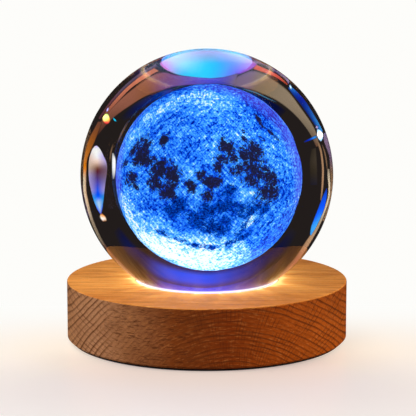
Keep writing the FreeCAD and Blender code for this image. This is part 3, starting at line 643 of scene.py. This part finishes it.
CRATERS, FAR_MARIA, DICE_START = 260, 22, 7
ROUGH_HEIGHT, SEA_DEPTH, MOST_HEIGHT = 0.06 * MM, 0.1 * MM, 0.1 * MM
CRATER_HEIGHT = 0.7 * MM          # times a crater's radius, as a share of the moon's
BOTTOM_LIT_FROM = 0.82            # share of the radius below the moon's centre


def engraved_moon():
    shape = bmesh.new()
    bmesh.ops.create_icosphere(shape, subdivisions=MOON_SUBDIVISIONS, radius=1.0)
    tables = {"deep": (spots(BLACK_MARIA), 1.3), "navy": (spots(NAVY_MARIA), 1.3),
              "bright": (spots(BRIGHTS), 1.5), "shade": (spots(SHADES), 1.4), "violet": (spots(VIOLETS), 1.5)}
    dice = random.Random(DICE_START)
    craters = []
    for _ in range(CRATERS):
        direction = Vector((dice.gauss(0, 1), dice.gauss(0, 1), dice.gauss(0, 1))).normalized()
        craters.append((direction, 0.02 + 0.06 * dice.random() ** 3))
    # the far side has maria of its own, fewer and smaller
    far = []
    for _ in range(FAR_MARIA):
        direction = Vector((dice.gauss(0, 1), 0.35 + abs(dice.gauss(0, 1)), 0.7 * dice.gauss(0, 1)))
        direction.normalize()
        far.append((direction, 0.12 + 0.18 * dice.random()))
    values = {name: [] for name in tables}
    for vertex in shape.verts:
        direction = vertex.co.normalized()
        found = {name: strength_at(direction, marks, spread) for name, (marks, spread) in tables.items()}
        for middle, size in far:
            away = (direction - middle).length / size
            if away < 1:
                found["deep"] = max(found["deep"], 1 - away * away)
        # painted light: the bottom of the moon, nearest the LEDs, is brightest
        bottom = max(0.0, -direction.z - BOTTOM_LIT_FROM) * 3.5
        found["bright"] = max(found["bright"], min(1.0, bottom))
        for name, value in found.items():
            values[name].append(value)
        sea = max(found["deep"], found["navy"])
        height = ROUGH_HEIGHT * noise.fractal(direction * 9, 0.9, 2.1, 5) - SEA_DEPTH * sea
        for middle, size in craters:
            away = (direction - middle).length / size
            if away < 1.5:
                bowl = 2.2 * (away * away - 0.8) if away < 1 else 0.9 * (1.5 - away)
                height += CRATER_HEIGHT * size * bowl
        vertex.co = direction * (MOON_R + min(height, MOST_HEIGHT))
    moon = mesh_object("moon_engraving", shape)
    moon.data.transform(Matrix.Translation(MOON_CENTRE))
    for name, found in values.items():
        moon.data.attributes.new(name, "FLOAT", "POINT").data.foreach_set("value", found)
    dress(moon, MATERIALS["engraving"])
    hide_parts("engraved_moon")
    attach(moon, "ball")


def light_beam():
    """The lit glass between the foot and the moon."""
    profile = [(0, BEAM_HIGH), (BEAM_R * 0.8, BEAM_HIGH), (BEAM_R, BEAM_LOW + 1 * MM), (BEAM_R, BEAM_LOW),
               (0, BEAM_LOW)]
    beam = mesh_object("light_in_glass", revolve(profile, BEAM_SIDES))
    dress(beam, light_in_glass())
    beam.visible_shadow = False
    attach(beam, "ball")


# ---- all the pieces ----

for node_name, node_object in frame["nodes"].items():
    dress(node_object, MATERIALS[SLOT_OF[node_name]])

crystal_ball()
engraved_moon()
light_beam()


# ---- the studio ----

LAMP_AIM = Vector((0, 0, 0.03))
FLOOR_HALF_SIDE = 6.0             # metres
FLOOR_DROP = 0.02 * MM            # keeps the floor's face apart from the pad's
FLOOR_SHADE = (0.5, 0.49, 0.475)
# painted light: the warm glow of the wood on the paper near the base
FLOOR_WARM_GLOW = (0.52, 0.46, 0.39)
BACK_WHITE = (0.985, 0.98, 0.955)


def seen_rays(tree):
    path = add(tree, "LightPath")
    return calc("MAXIMUM", path.outputs["Is Camera Ray"],
                calc("MAXIMUM", path.outputs["Is Glossy Ray"], path.outputs["Is Transmission Ray"]))


def floor_material():
    """Satin paper, partly bright of its own, and plain white farther off and behind the lamp."""
    made, tree, shader = material("floor_paper", {"Roughness": 0.3, "Specular IOR Level": 0.5})
    tooth = grain(place(tree), 1.5, 3)
    # all distances are in mm
    out = distance_from_axis(tree)
    near = step(out, 75.0, WOOD_R / MM)
    paper = mix(tooth, tuple(c * 0.985 for c in FLOOR_SHADE), FLOOR_SHADE)
    # painted light: near the base the paper turns warm, where the wood's glow falls
    plug(shader["Base Color"], mix(near, paper, FLOOR_WARM_GLOW))
    seen = seen_rays(tree)
    # light from the wood lies warm at both sides, the front is in the ball's own shade
    forward = parts_of(place(tree))[1]
    front = step(calc("DIVIDE", forward, out), -0.25, -0.92)
    close = mix(front, (0.66, 0.57, 0.47), (0.4, 0.335, 0.325))
    colour = mix(step(out, 55.0, 130.0), close, (0.51, 0.46, 0.45))
    own = add(tree, "Emission", {"Color": colour, "Strength": seen})
    both = add(tree, "AddShader", {0: tree.nodes["Principled BSDF"].outputs[0], 1: own.outputs[0]})
    plain = add(tree, "Emission", {"Color": BACK_WHITE, "Strength": 1.0})
    behind = calc("MAXIMUM", step(out, 85.0, 260.0), step(forward, -30.0, 45.0))
    mixed = add(tree, "MixShader", {0: times(behind, seen), 1: both.outputs[0], 2: plain.outputs[0]})
    tree.links.new(mixed.outputs[0], tree.nodes["Material Output"].inputs["Surface"])
    return made


def floor():
    shape = bmesh.new()
    bmesh.ops.create_grid(shape, x_segments=8, y_segments=8, size=FLOOR_HALF_SIDE)
    made = mesh_object("floor", shape)
    made.location.z = -FLOOR_DROP
    dress(made, floor_material())
    made.visible_glossy = False
    made.visible_transmission = False


SURROUND_COLOUR = (0.016, 0.012, 0.011)
CARD_REACH = 4.0                  # metres from the ball
CARD_STEP = 0.004                 # each card hangs this share of the reach nearer than the last
LEAST_SHARE = 0.22                # where less light gets through, a card isn't made brighter still
ROW_STEPS = 8
CROSS_STEPS = 10

# The ball's outline in the photo and, as a true circle, in the render, in pixels
PHOTO_BALL = (206.0, 173.5)
PHOTO_BALL_ACROSS = 127.9
PHOTO_BALL_UP = 124.8
PHOTO_BALL_DOWN = 122.8
ROUND_BALL = (206.3, 174.5)
ROUND_BALL_R = 126.6
MOVED_FROM, MOVED_FULLY = 0.8, 0.96   # shares of the ball's radius

# Coloured sheets for the cards, in linear light
WHITE = (1.0, 1.0, 1.0)
CREAM = (0.95, 0.76, 0.52)
SAND = (0.72, 0.53, 0.44)
TAN = (0.5, 0.28, 0.15)
KHAKI = (0.28, 0.21, 0.14)
BROWN = (0.3, 0.105, 0.065)
SALMON = (0.6, 0.18, 0.1)
RED = (0.72, 0.1, 0.05)
ORANGE = (0.95, 0.3, 0.03)
RUST = (0.42, 0.12, 0.014)
YELLOW = (1.0, 0.8, 0.22)
LIME = (0.4, 1.1, 0.2)
MAROON = (0.28, 0.09, 0.12)
PLUM = (0.17, 0.07, 0.28)
MAUVE = (0.2, 0.13, 0.22)
ROSE = (0.45, 0.16, 0.28)
PINK = (0.72, 0.4, 0.58)
ORCHID = (0.62, 0.2, 0.62)
VIOLET = (0.38, 0.09, 0.62)
LILAC = (0.38, 0.32, 0.66)
INDIGO = (0.08, 0.06, 0.5)
NAVY = (0.0, 0.03, 0.4)
BLUE = (0.0, 0.1, 1.0)
AZURE = (0.04, 0.38, 1.0)
CYAN = (0.0, 0.48, 0.76)
ICE = (0.42, 0.64, 0.92)
TEAL = (0.04, 0.17, 0.31)
DARK = (0.012, 0.011, 0.02)

# Clear glass shows its edge only against something dark, so this ball stands among dark and coloured
# cards. Their colours are painted light for the glass: the reflections, highlights and glow that it shows.
# Each card is a strip: how soft its long sides are, from 0 to 1, and some rows across it. A row has two
# ends, as x, y, x, y where the ball shows them in the photo, and the sheet and brightness at the first end.
# Then come those at the second end, where they differ.
CARDS = {
    "top_glow_upper": (0, [
        (159.5, 63.4, 159.3, 64.4, ORCHID, 1, 0.95), (166, 59.6, 166, 65, PINK, 0.95, ORCHID, 1.05),
        (181.6, 54.4, 181.6, 64, PINK, 0.82, ICE, 0.9), (208, 50.8, 208, 63.6, ROSE, 0.9, CYAN, 0.92),
        (232, 53.4, 232, 64, ROSE, 1.15, INDIGO, 1.4), (249, 59.6, 249, 64.8, PINK, 0.85, VIOLET, 1.05),
        (256.8, 64.2, 256.8, 64.9, ORCHID, 0.8, VIOLET, 0.85)]),
    "top_glow_lower": (0, [
        (159.3, 64, 159.6, 65.2, ORCHID, 0.95, 0.9), (166, 64.6, 166.4, 70.4, ORCHID, 1.05, 0.95),
        (181.6, 63.6, 181.6, 75.6, ICE, 0.9, CYAN, 0.9), (208, 63.2, 208, 78.2, CYAN, 0.92, 1.08),
        (232, 63.6, 233, 75.6, INDIGO, 1.4, 1.42), (249, 64.5, 248.6, 70.6, VIOLET, 1.05, 0.9),
        (256.8, 64.5, 256.6, 65.6, VIOLET, 0.85, 0.75)]),
    "mauve_left": (0.1, [
        (92, 133, 96.2, 136, BROWN, 0.22, 0.16), (105, 114.5, 111.2, 119.5, BROWN, 0.8, 0.52),
        (122.5, 96.5, 131, 105.5, BROWN, 1.06, 0.9), (146, 78.5, 150, 95, BROWN, 1.03, 0.8),
        (161, 72, 165, 90, MAROON, 1, PLUM, 0.8), (178, 75, 179, 86.2, PLUM, 1.05, 1),
        (208, 78, 208, 84, INDIGO, 1.4, 1), (224, 77, 222, 84.5, INDIGO, 1.1, 0.75),
        (238, 73, 234, 86.5, MAUVE, 0.9, 0.8)]),
    "salmon_left": (0.25, [
        (153, 68.3, 158.5, 71.4, SALMON, 0.9, 0.85), (144, 73.5, 151.5, 75, SALMON, 1.08, 0.93),
        (124.4, 87.8, 131, 88, SALMON, 1.05, 0.98), (107.9, 106, 112.8, 106.6, SALMON, 0.7, 0.6),
        (101, 114.5, 106, 114.5, SALMON, 0.48, 0.4)]),
    "orange_left": (0.3, [
        (96.5, 121.5, 101.5, 121.5, BROWN, 0.55, 0.4), (86.4, 140, 93.5, 142, RUST, 0.85, 0.72),
        (82.4, 158, 86.2, 158, ORANGE, 0.72, RUST, 0.95), (81.8, 168, 85.2, 168, ORANGE, 1, RUST, 1.4),
        (81.4, 178, 84.9, 178, CREAM, 0.92, TAN, 1), (81.8, 190, 85.2, 190, CREAM, 1, TAN, 1.05),
        (83.8, 200, 87.2, 200, CREAM, 0.95, TAN, 1.1), (86.4, 210, 89.7, 210, KHAKI, 2.2, 1.35),
        (90, 221, 93.4, 221, KHAKI, 1.2, 0.95), (97.9, 237, 101.2, 237, KHAKI, 0.9, 0.55),
        (105.5, 247, 108.5, 247, BROWN, 0.7, 0.4), (121.6, 266, 125, 263.6, TAN, 0.82, BROWN, 0.45),
        (131.6, 274.8, 134.5, 272, TAN, 0.84, BROWN, 0.42)]),
    "purple_rim_left": (0.3, [
        (97, 118, 99, 119.5, MAROON, 0.4, 0.2), (108, 102.5, 110.5, 104, MAROON, 0.6, 0.25),
        (122, 87, 124.5, 89, MAUVE, 0.68, 0.28), (138, 74, 140, 76.5, MAUVE, 0.66, 0.3),
        (155, 64.5, 156.5, 67, MAUVE, 0.76, 0.42)]),
    "navy_upper_left": (0.5, [
        (119, 118, 125, 122, DARK, 0.6, 1.2), (131, 105.5, 138, 112, DARK, 0.9, NAVY, 0.25),
        (144, 97, 150, 104, DARK, 1.5, NAVY, 0.5), (158, 92, 162, 97, NAVY, 0.35, 0.7),
        (172, 88, 174, 91, INDIGO, 0.55, 0.7)]),
    "streak_left_high": (0.6, [
        (116.5, 143, 118, 143.6, TAN, 0.14), (121, 132, 123.2, 133, TAN, 0.29),
        (128, 120, 129.6, 121, TAN, 0.12)]),
    "streak_left_low": (0.6, [
        (109, 162, 110.6, 162, TAN, 0.23), (110, 152, 112, 152, TAN, 0.38),
        (112.4, 143.5, 114, 144, TAN, 0.2)]),
    "almond_outer_half": (0, [
        (93.8, 145.6, 95, 145.5, SAND, 0.8, LILAC, 1.8), (91.2, 149, 95.6, 149, WHITE, 0.9, 1),
        (88.6, 156, 96.2, 156.2, SAND, 1.15, WHITE, 0.98), (87.7, 161, 96.8, 161.2, SAND, 0.97, 1.25),
        (87.3, 168, 96.9, 168, SAND, 0.78, BROWN, 0.65), (87.6, 176, 96.6, 176, LILAC, 1, PLUM, 0.5),
        (88.4, 182, 97, 182, LILAC, 0.95, INDIGO, 0.85), (89.9, 189, 97.2, 189, LILAC, 0.95, BLUE, 0.85),
        (91.8, 196, 97.6, 196, AZURE, 0.85, BLUE, 1.1), (93.8, 202, 98.2, 202, AZURE, 0.95, ICE, 1.05),
        (96.4, 208, 99.2, 208, BLUE, 1, ICE, 1), (99.5, 213, 100.1, 213, NAVY, 1.2, INDIGO, 1.2)]),
    "almond_inner_half": (0, [
        (94.9, 145.5, 96.2, 145.4, LILAC, 1.8, 1.5), (95.5, 149, 99.8, 149.1, WHITE, 1, 0.85),
        (96.1, 156.2, 103.6, 156.3, WHITE, 0.98, LILAC, 1.35),
        (96.7, 161.2, 106, 161.4, SAND, 1.25, LILAC, 1.05),
        (96.8, 168, 107.1, 168.2, BROWN, 0.65, MAUVE, 0.95), (96.5, 176, 106.4, 176, PLUM, 0.5, MAUVE, 1),
        (96.9, 182, 105.5, 182, INDIGO, 0.85, LILAC, 0.62), (97.1, 189, 104.6, 189, BLUE, 0.85, LILAC, 1),
        (97.5, 196, 103.7, 196, BLUE, 1.1, AZURE, 0.75), (98.1, 202, 102.8, 202, ICE, 1.05, AZURE, 0.8),
        (99.1, 208, 101.8, 208, ICE, 1, BLUE, 0.85), (100, 213, 100.6, 213, INDIGO, 1.2, 0.8)]),
    "warm_spot_left": (0.45, [
        (99.5, 212.6, 101.5, 212.2, ORANGE, 0.75, 0.55), (98.6, 215, 104.6, 215, CREAM, 1.1, ORANGE, 1.2),
        (99.6, 217.4, 106, 217.4, WHITE, 1.2, CREAM, 1.1), (102, 220.2, 106.4, 220, ORANGE, 0.9, 0.65)]),
    "sliver_left": (0.35, [
        (112, 153, 113.6, 153, WHITE, 0.2, 0.3), (111.8, 159, 115.6, 159, WHITE, 0.8, 1.1),
        (111.8, 166, 115.8, 166, WHITE, 0.9, 1.2), (112, 173, 115.4, 173, WHITE, 0.55, 0.8),
        (112.6, 179, 114.2, 179, WHITE, 0.15, 0.2)]),
    "purple_rim_right": (0.3, [
        (252, 58.8, 255.5, 63.8, MAUVE, 1.1, 1.2), (262, 61.8, 266.5, 67, MAUVE, 0.7, 0.58),
        (281.6, 73.6, 284, 78.2, LILAC, 0.7, MAUVE, 0.42), (290, 81, 289, 85, LILAC, 0.85, PLUM, 0.65)]),
    "red_right": (0.12, [
        (256.7, 65.2, 253.2, 69.2, RED, 1, 0.88), (273.9, 72.8, 271.2, 75.6, RED, 1.03, 0.83),
        (281, 77.6, 279, 79.4, RED, 0.97, 0.76), (288.5, 84.4, 287.6, 85.4, RED, 0.58, 0.42)]),
    "blue_right": (0.25, [
        (290.8, 85.8, 288.6, 88.6, AZURE, 0.9, NAVY, 0.75),
        (299.7, 93.6, 295.2, 97.4, BLUE, 0.52, NAVY, 0.55),
        (308.3, 104, 302.6, 106.6, BLUE, 0.45, NAVY, 0.45),
        (320.4, 123.8, 316.2, 125.6, AZURE, 0.8, NAVY, 0.65), (323.5, 131, 322, 132, AZURE, 1.1, 0.6)]),
    "grey_right": (0.08, [
        (238, 76, 233, 86.3, MAUVE, 0.86, 0.76), (252.4, 70.5, 245.5, 89, MAUVE, 0.95, 0.85),
        (265.3, 74.4, 255.5, 91.9, KHAKI, 0.76, 0.72), (286.8, 89, 276.1, 100.7, KHAKI, 1.02, 0.94),
        (302.3, 108.8, 294.2, 114.3, KHAKI, 1.07, 0.84), (315, 127.8, 308.5, 131.2, KHAKI, 0.96, 0.6),
        (320.2, 145, 316.6, 146.5, TAN, 0.5, BROWN, 0.35)]),
    "teal_line_right": (0.6, [
        (243, 88, 242.6, 89.4, TEAL, 1, 0.9), (256, 92, 255.4, 93.4, TEAL, 1.15, 1.05),
        (267, 97.2, 266.2, 98.6, TEAL, 1, 0.8), (277, 101.6, 276.2, 102.8, TEAL, 0.45, 0.35)]),
    "navy_upper_right": (0.4, [
        (252, 92.5, 249, 95.5, NAVY, 0.22, 0.3), (277, 103.5, 271, 111, NAVY, 0.09, 0.12),
        (287, 110.5, 279, 118, DARK, 0.6, 0.8)]),
    "brown_strip_right": (0.3, [
        (316.5, 147.5, 311.5, 149, KHAKI, 0.16, 0.08), (317.5, 160, 309.5, 161, KHAKI, 0.2, 0.11),
        (318, 172, 309.6, 173, KHAKI, 0.13, 0.08), (318, 184, 310, 185, DARK, 1.3, 1)]),
    "tan_line_right": (0.4, [
        (319.8, 142, 317.4, 142.6, TAN, 0.6, 0.4), (322.6, 150, 320.3, 150.6, TAN, 0.85, 0.58),
        (324.6, 165, 322.2, 165.2, TAN, 1, 0.7), (324.6, 178, 322.2, 178, TAN, 1.05, 0.72),
        (323.6, 190, 321.6, 190, TAN, 0.94, 0.6), (322.2, 199, 320.6, 198.6, TAN, 0.4, 0.28)]),
    "thin_line_right": (0.6, [
        (323.6, 143.6, 322.2, 144, TAN, 0.22), (326.6, 152, 324.8, 152.4, TAN, 0.42),
        (328.2, 161, 326.6, 161.2, TAN, 0.45), (328.8, 169, 327.4, 169, TAN, 0.32)]),
    "mauve_rim_right": (0.25, [
        (328.2, 131, 324.6, 133, LILAC, 0.48, 0.46), (330.6, 139, 324.8, 141, MAUVE, 1.1, 1.2),
        (333, 155, 330, 156, MAUVE, 0.85, 0.68), (334.2, 172, 331, 172, TAN, 0.47, 0.34),
        (334.2, 184, 331.4, 184, TAN, 0.62, 0.47), (330.2, 207, 327.6, 206.4, TAN, 0.56, 0.46),
        (325.4, 219, 322.8, 218, TAN, 0.54, 0.42)]),
    "cream_line_right": (0.35, [
        (330.4, 168, 328.2, 168, KHAKI, 1.15, 0.78), (331, 176, 328.4, 176, CREAM, 0.76, 0.54),
        (331.4, 184, 329.2, 184, CREAM, 0.97, 0.62), (330.8, 193.8, 328.8, 193.6, CREAM, 1, 0.64),
        (328.6, 203, 326.4, 202.6, CREAM, 0.93, 0.6), (321.2, 222, 318.6, 221, KHAKI, 1.75, 1.3),
        (311.2, 240, 306.6, 238, TAN, 1.15, 0.86), (298.4, 258, 294.2, 255.4, SALMON, 0.74, BROWN, 0.68),
        (281.4, 273.8, 278.6, 271.2, TAN, 0.78, BROWN, 0.42)]),
    "blue_crescent_right": (0.12, [
        (328, 187, 327.2, 187.4, NAVY, 1.1), (327.6, 195.6, 323.4, 195.2, BLUE, 0.95, 0.7),
        (325.4, 206.6, 319.2, 205.6, BLUE, 1.15, 0.95), (321, 217, 315, 216, AZURE, 1, BLUE, 1.2),
        (316.2, 226, 311.6, 225, AZURE, 1.25, 0.9), (311.8, 232.6, 310.8, 231.8, AZURE, 1, 0.8)]),
    "flare_right": (0.6, [
        (317.5, 128.6, 318.3, 128.2, ICE, 0.7), (317.6, 131.2, 322.4, 130.6, ICE, 2.7),
        (317.4, 134.4, 324.2, 134, WHITE, 3.8), (318.6, 138, 324, 137.4, ICE, 2.8),
        (321, 141, 322.4, 140.8, ICE, 0.8)]),
    "flare_streak_right": (0.6, [
        (303.6, 141.4, 304.4, 142.8, BLUE, 0.3), (310, 138, 311, 140.2, BLUE, 0.65),
        (316.6, 134.8, 317.8, 137.6, AZURE, 1.4)]),
    "flare_spot_right": (0.6, [
        (316.2, 125.6, 319, 125.4, LILAC, 1.4), (316.2, 128.2, 319.2, 128, LILAC, 1.9)]),
    "spark_rim_right": (0.6, [
        (289.6, 85.4, 291.2, 84.8, ICE, 1.4), (290.2, 87.8, 292.2, 87.2, ICE, 1.9),
        (291.4, 89.6, 292.6, 89.2, ICE, 0.8)]),
    "hot_spot_left": (0.5, [
        (104.6, 113.2, 107.4, 113.8, LIME, 1.1, 0.9), (101.6, 116.4, 109, 116.6, YELLOW, 3.6, 1.7),
        (101, 119.2, 110, 119.2, YELLOW, 2.5, ORANGE, 2.6), (102.4, 122, 109.4, 122, RED, 2, 1.6),
        (105, 124, 107.4, 124, RED, 0.8, 0.7)]),
    "lilac_spark_left": (0.6, [
        (105, 111.6, 106, 112.2, LILAC, 0.7), (105.6, 109, 107.4, 110.2, LILAC, 2.2),
        (107.2, 107, 108, 107.6, LILAC, 0.5)]),
    "teal_spark_left": (0.6, [
        (112.2, 118, 113, 117.2, CYAN, 0.5), (114, 120.6, 115.2, 119.4, CYAN, 1.7),
        (116, 121.8, 116.6, 121.2, CYAN, 0.5)]),
    "maroon_lower_left": (0.5, [
        (128, 253, 134, 248, DARK, 0.9, 1.3), (136, 264, 146, 254, MAROON, 0.18, DARK, 1.5),
        (146, 275, 156, 262, MAROON, 0.2, NAVY, 0.28), (158, 284, 166, 270, PLUM, 0.28, NAVY, 0.55)]),
    "grey_lower_right": (0.5, [
        (254, 284, 247, 271, PLUM, 0.17, NAVY, 0.3), (268, 276, 258, 264, MAUVE, 0.2, DARK, 2),
        (280, 265, 270, 255, BROWN, 0.24, DARK, 1.5), (289, 254, 281, 247, BROWN, 0.14, DARK, 1)]),
    "blue_below_moon": (0.6, [
        (150, 290, 158, 262, INDIGO, 0.15, NAVY, 0.15), (168, 292, 170, 266, INDIGO, 0.7, NAVY, 0.9),
        (206, 295, 206, 271, NAVY, 1.6, 1.6), (226, 294, 226, 270, NAVY, 1, 1.1),
        (244, 292, 243, 266, PLUM, 0.3, NAVY, 0.5), (262, 289, 256, 262, DARK, 1.5, NAVY, 0.2)]),
    "blue_under_limb": (0.7, [
        (112, 232, 120, 226, DARK, 0.9, NAVY, 0.12), (124, 252, 134, 243, DARK, 1, NAVY, 0.25),
        (142, 268, 152, 256, DARK, 1.5, NAVY, 0.55), (168, 280, 174, 266, NAVY, 1.2, BLUE, 0.9),
        (206, 285, 206, 271, NAVY, 1.5, BLUE, 0.9), (242, 279, 238, 266, NAVY, 0.4, BLUE, 0.36),
        (266, 268, 258, 256, DARK, 1, NAVY, 0.4), (287, 251, 277, 243, DARK, 0.8, NAVY, 0.15),
        (299, 232, 290, 227, DARK, 0.8, 1.5)]),
}


def to_outline(x, y):
    """The photo shows the ball a little wider than high: marks near its outline stay beside it."""
    tall = PHOTO_BALL_UP if y < PHOTO_BALL[1] else PHOTO_BALL_DOWN
    across, down = (x - PHOTO_BALL[0]) / PHOTO_BALL_ACROSS, (y - PHOTO_BALL[1]) / tall
    share = min(1.0, max(0.0, (math.hypot(across, down) - MOVED_FROM) / (MOVED_FULLY - MOVED_FROM)))
    round_x, round_y = ROUND_BALL[0] + across * ROUND_BALL_R, ROUND_BALL[1] + down * ROUND_BALL_R
    return x + (round_x - x) * share, y + (round_y - y) * share


def let_through(inside, leave):
    """The share of the light that both faces of the ball let through."""
    cosine = inside.dot(leave) / BALL_R
    sine = min(0.999, GLASS_IOR * math.sqrt(max(0.0, 1 - cosine * cosine)))
    outer = math.sqrt(1 - sine * sine)
    straight = ((GLASS_IOR * cosine - outer) / (GLASS_IOR * cosine + outer)) ** 2
    level = ((cosine - GLASS_IOR * outer) / (cosine + GLASS_IOR * outer)) ** 2
    facing = ((GLASS_IOR - 1) / (GLASS_IOR + 1)) ** 2
    return (1 - ((straight + level) / 2 - facing) / (1 - facing)) ** 2


def chord(start, ray, radius):
    """How far start lies past the middle of the ray's chord in a sphere, and half the chord squared."""
    along = start.dot(ray)
    return along, along * along - start.length_squared + radius * radius


def way_out(x, y):
    """Where the light leaves the ball's back, which way, and how much of it, for a pixel of the photo."""
    x, y = to_outline(x, y)
    pitch = SENSOR / CAMERA_LENS / PHOTO_SIZE
    right, up = (x - PHOTO_SIZE / 2) * pitch, (PHOTO_SIZE / 2 - y) * pitch
    ray = (CAMERA_FORWARD + Vector((right, 0, 0)) + CAMERA_UP * up).normalized()
    start = Vector(CAMERA_PLACE) - BALL_CENTRE
    along, room = chord(start, ray, BALL_R)
    if room < 0:
        # just past the outline: the nearest ray that still meets the glass
        start += (start - ray * along) * (BALL_R * 0.9995 / (start - ray * along).length - 1)
        along, room = chord(start, ray, BALL_R)
    enter = start + ray * (-along - math.sqrt(room))
    inside = bent(ray, enter / BALL_R, 1 / GLASS_IOR)
    leave = enter - inside * 2 * enter.dot(inside)
    return leave, bent(inside, -leave / BALL_R, GLASS_IOR), let_through(inside, leave)


def bent(ray, normal, ratio):
    """Refraction. normal faces the ray, and ratio is the first medium's index over the second's."""
    facing = -ray.dot(normal)
    rest = max(0.0, 1 - ratio * ratio * (1 - facing * facing))
    return (ray * ratio + normal * (ratio * facing - math.sqrt(rest))).normalized()


def seen_at(x, y, reach):
    """The point of the surround that the ball shows at a pixel of the photo, from the ball's centre, and how
    much of its light comes through."""
    leave, ray, share = way_out(x, y)
    along, room = chord(leave, ray, reach)
    return leave + ray * (math.sqrt(room) - along), share


def eased(values, place_at):
    """A smooth curve through a list of tuples, at a place counted in rows."""
    row = min(int(place_at), len(values) - 2)
    part = place_at - row
    before, first, second, after = (values[min(max(i, 0), len(values) - 1)] for i in range(row - 1, row + 3))
    made = []
    for a, b, c, d in zip(before, first, second, after):
        bend = 2 * a - 5 * b + 4 * c - d + part * (3 * (b - c) + d - a)
        made.append(b + 0.5 * part * (c - a + part * bend))
    return made


def card_material():
    made = bpy.data.materials.new("card")
    tree = bare_tree(made)
    colour = add(tree, "Attribute", attribute_name="glow").outputs["Color"]
    light = add(tree, "Emission", {"Color": colour, "Strength": 1.0})
    end = add(tree, "OutputMaterial")
    tree.links.new(light.outputs[0], end.inputs["Surface"])
    return made


def only_in_glass(made):
    """The cards are there for the glass alone."""
    made.visible_camera = False
    made.visible_diffuse = False
    made.visible_shadow = False
    made.location = BALL_CENTRE


def glowing(made, colours):
    layer = made.data.attributes.new("glow", "FLOAT_COLOR", "POINT")
    layer.data.foreach_set("color", [part for colour in colours for part in (*colour, 1.0)])


def both_ends(x1, y1, x2, y2, sheet, level, *other):
    """A card's row as ten numbers: its two ends and the colour at each."""
    other_sheet = other[0] if len(other) == 2 else sheet
    other_level = other[-1] if other else level
    return (x1, y1, x2, y2, *(c * level for c in sheet), *(c * other_level for c in other_sheet))


def surround():
    paint = card_material()
    shape = bmesh.new()
    bmesh.ops.create_uvsphere(shape, u_segments=48, v_segments=24, radius=CARD_REACH * 1.1)
    count = len(shape.verts)
    made = mesh_object("dark_surround", shape)
    glowing(made, [SURROUND_COLOUR] * count)
    dress(made, paint)
    only_in_glass(made)
    for index, (name, (soft, rows)) in enumerate(CARDS.items()):
        reach = CARD_REACH * (1 - CARD_STEP * index)
        flat_rows = [both_ends(*row) for row in rows]
        shape = bmesh.new()
        colours, grid = [], []
        steps = ROW_STEPS * (len(rows) - 1)
        for down in range(steps + 1):
            row = eased(flat_rows, down / ROW_STEPS)
            line = []
            for across in range(CROSS_STEPS + 1):
                part = across / CROSS_STEPS
                x, y = row[0] + (row[2] - row[0]) * part, row[1] + (row[3] - row[1]) * part
                spot, share = seen_at(x, y, reach)
                line.append(shape.verts.new(spot))
                gain = 1 / max(LEAST_SHARE, share)
                edge = min(1.0, 2 * min(part, 1 - part) / soft) if soft > 0 else 1.0
                fade = edge * edge * (3 - 2 * edge)
                ends = min(1.0, 2 * min(down, steps - down) / (ROW_STEPS * 1.5) + 0.25)
                fade *= ends if soft > 0.4 else 1.0
                colours.append([gain * max(0.0, row[4 + i] + (row[7 + i] - row[4 + i]) * part) * fade
                                + SURROUND_COLOUR[i] * (1 - fade) for i in range(3)])
            grid.append(line)
        for upper, lower in zip(grid, grid[1:]):
            for i in range(CROSS_STEPS):
                shape.faces.new((upper[i], upper[i + 1], lower[i + 1], lower[i]))
        card = mesh_object("card_" + name, shape)
        glowing(card, colours)
        dress(card, paint)
        only_in_glass(card)
        card.visible_glossy = False


def lamp(name, place_at, size, power, colour):
    data = bpy.data.lights.new(name, "AREA")
    data.shape = "RECTANGLE"
    data.size, data.size_y = size
    data.energy = power
    data.color = colour
    made = linked(name, data)
    made.location = place_at
    made.rotation_euler = (Vector(place_at) - LAMP_AIM).to_track_quat("Z", "Y").to_euler()
    made.visible_camera = False
    made.visible_glossy = False
    made.visible_transmission = False


def world():
    made = bpy.data.worlds.new("studio")
    tree = bare_tree(made)
    light = add(tree, "Background", {"Color": (0.95, 0.96, 1.0), "Strength": 0.42})
    white = add(tree, "Background", {"Color": BACK_WHITE, "Strength": 1.0})
    mixed = add(tree, "MixShader", {0: seen_rays(tree), 1: light.outputs[0], 2: white.outputs[0]})
    end = add(tree, "OutputWorld")
    tree.links.new(mixed.outputs[0], end.inputs["Surface"])
    bpy.context.scene.world = made


def camera():
    data = bpy.data.cameras.new("camera")
    data.lens = CAMERA_LENS
    data.sensor_width = SENSOR
    made = linked("camera", data)
    made.location = CAMERA_PLACE
    made.rotation_euler = (CAMERA_TILT, 0, 0)
    bpy.context.scene.camera = made


floor()
surround()
lamp("key", (-0.25, -0.2, 0.78), (0.5, 0.5), 3.2, (1.0, 0.98, 0.95))
lamp("left", (-0.7, -0.15, 0.3), (0.3, 0.5), 1.6, (0.95, 0.97, 1.0))
lamp("right", (0.65, -0.25, 0.24), (0.3, 0.4), 2.5, (1.0, 0.76, 0.5))
world()
camera()
bpy.context.scene.view_settings.view_transform = "Standard"
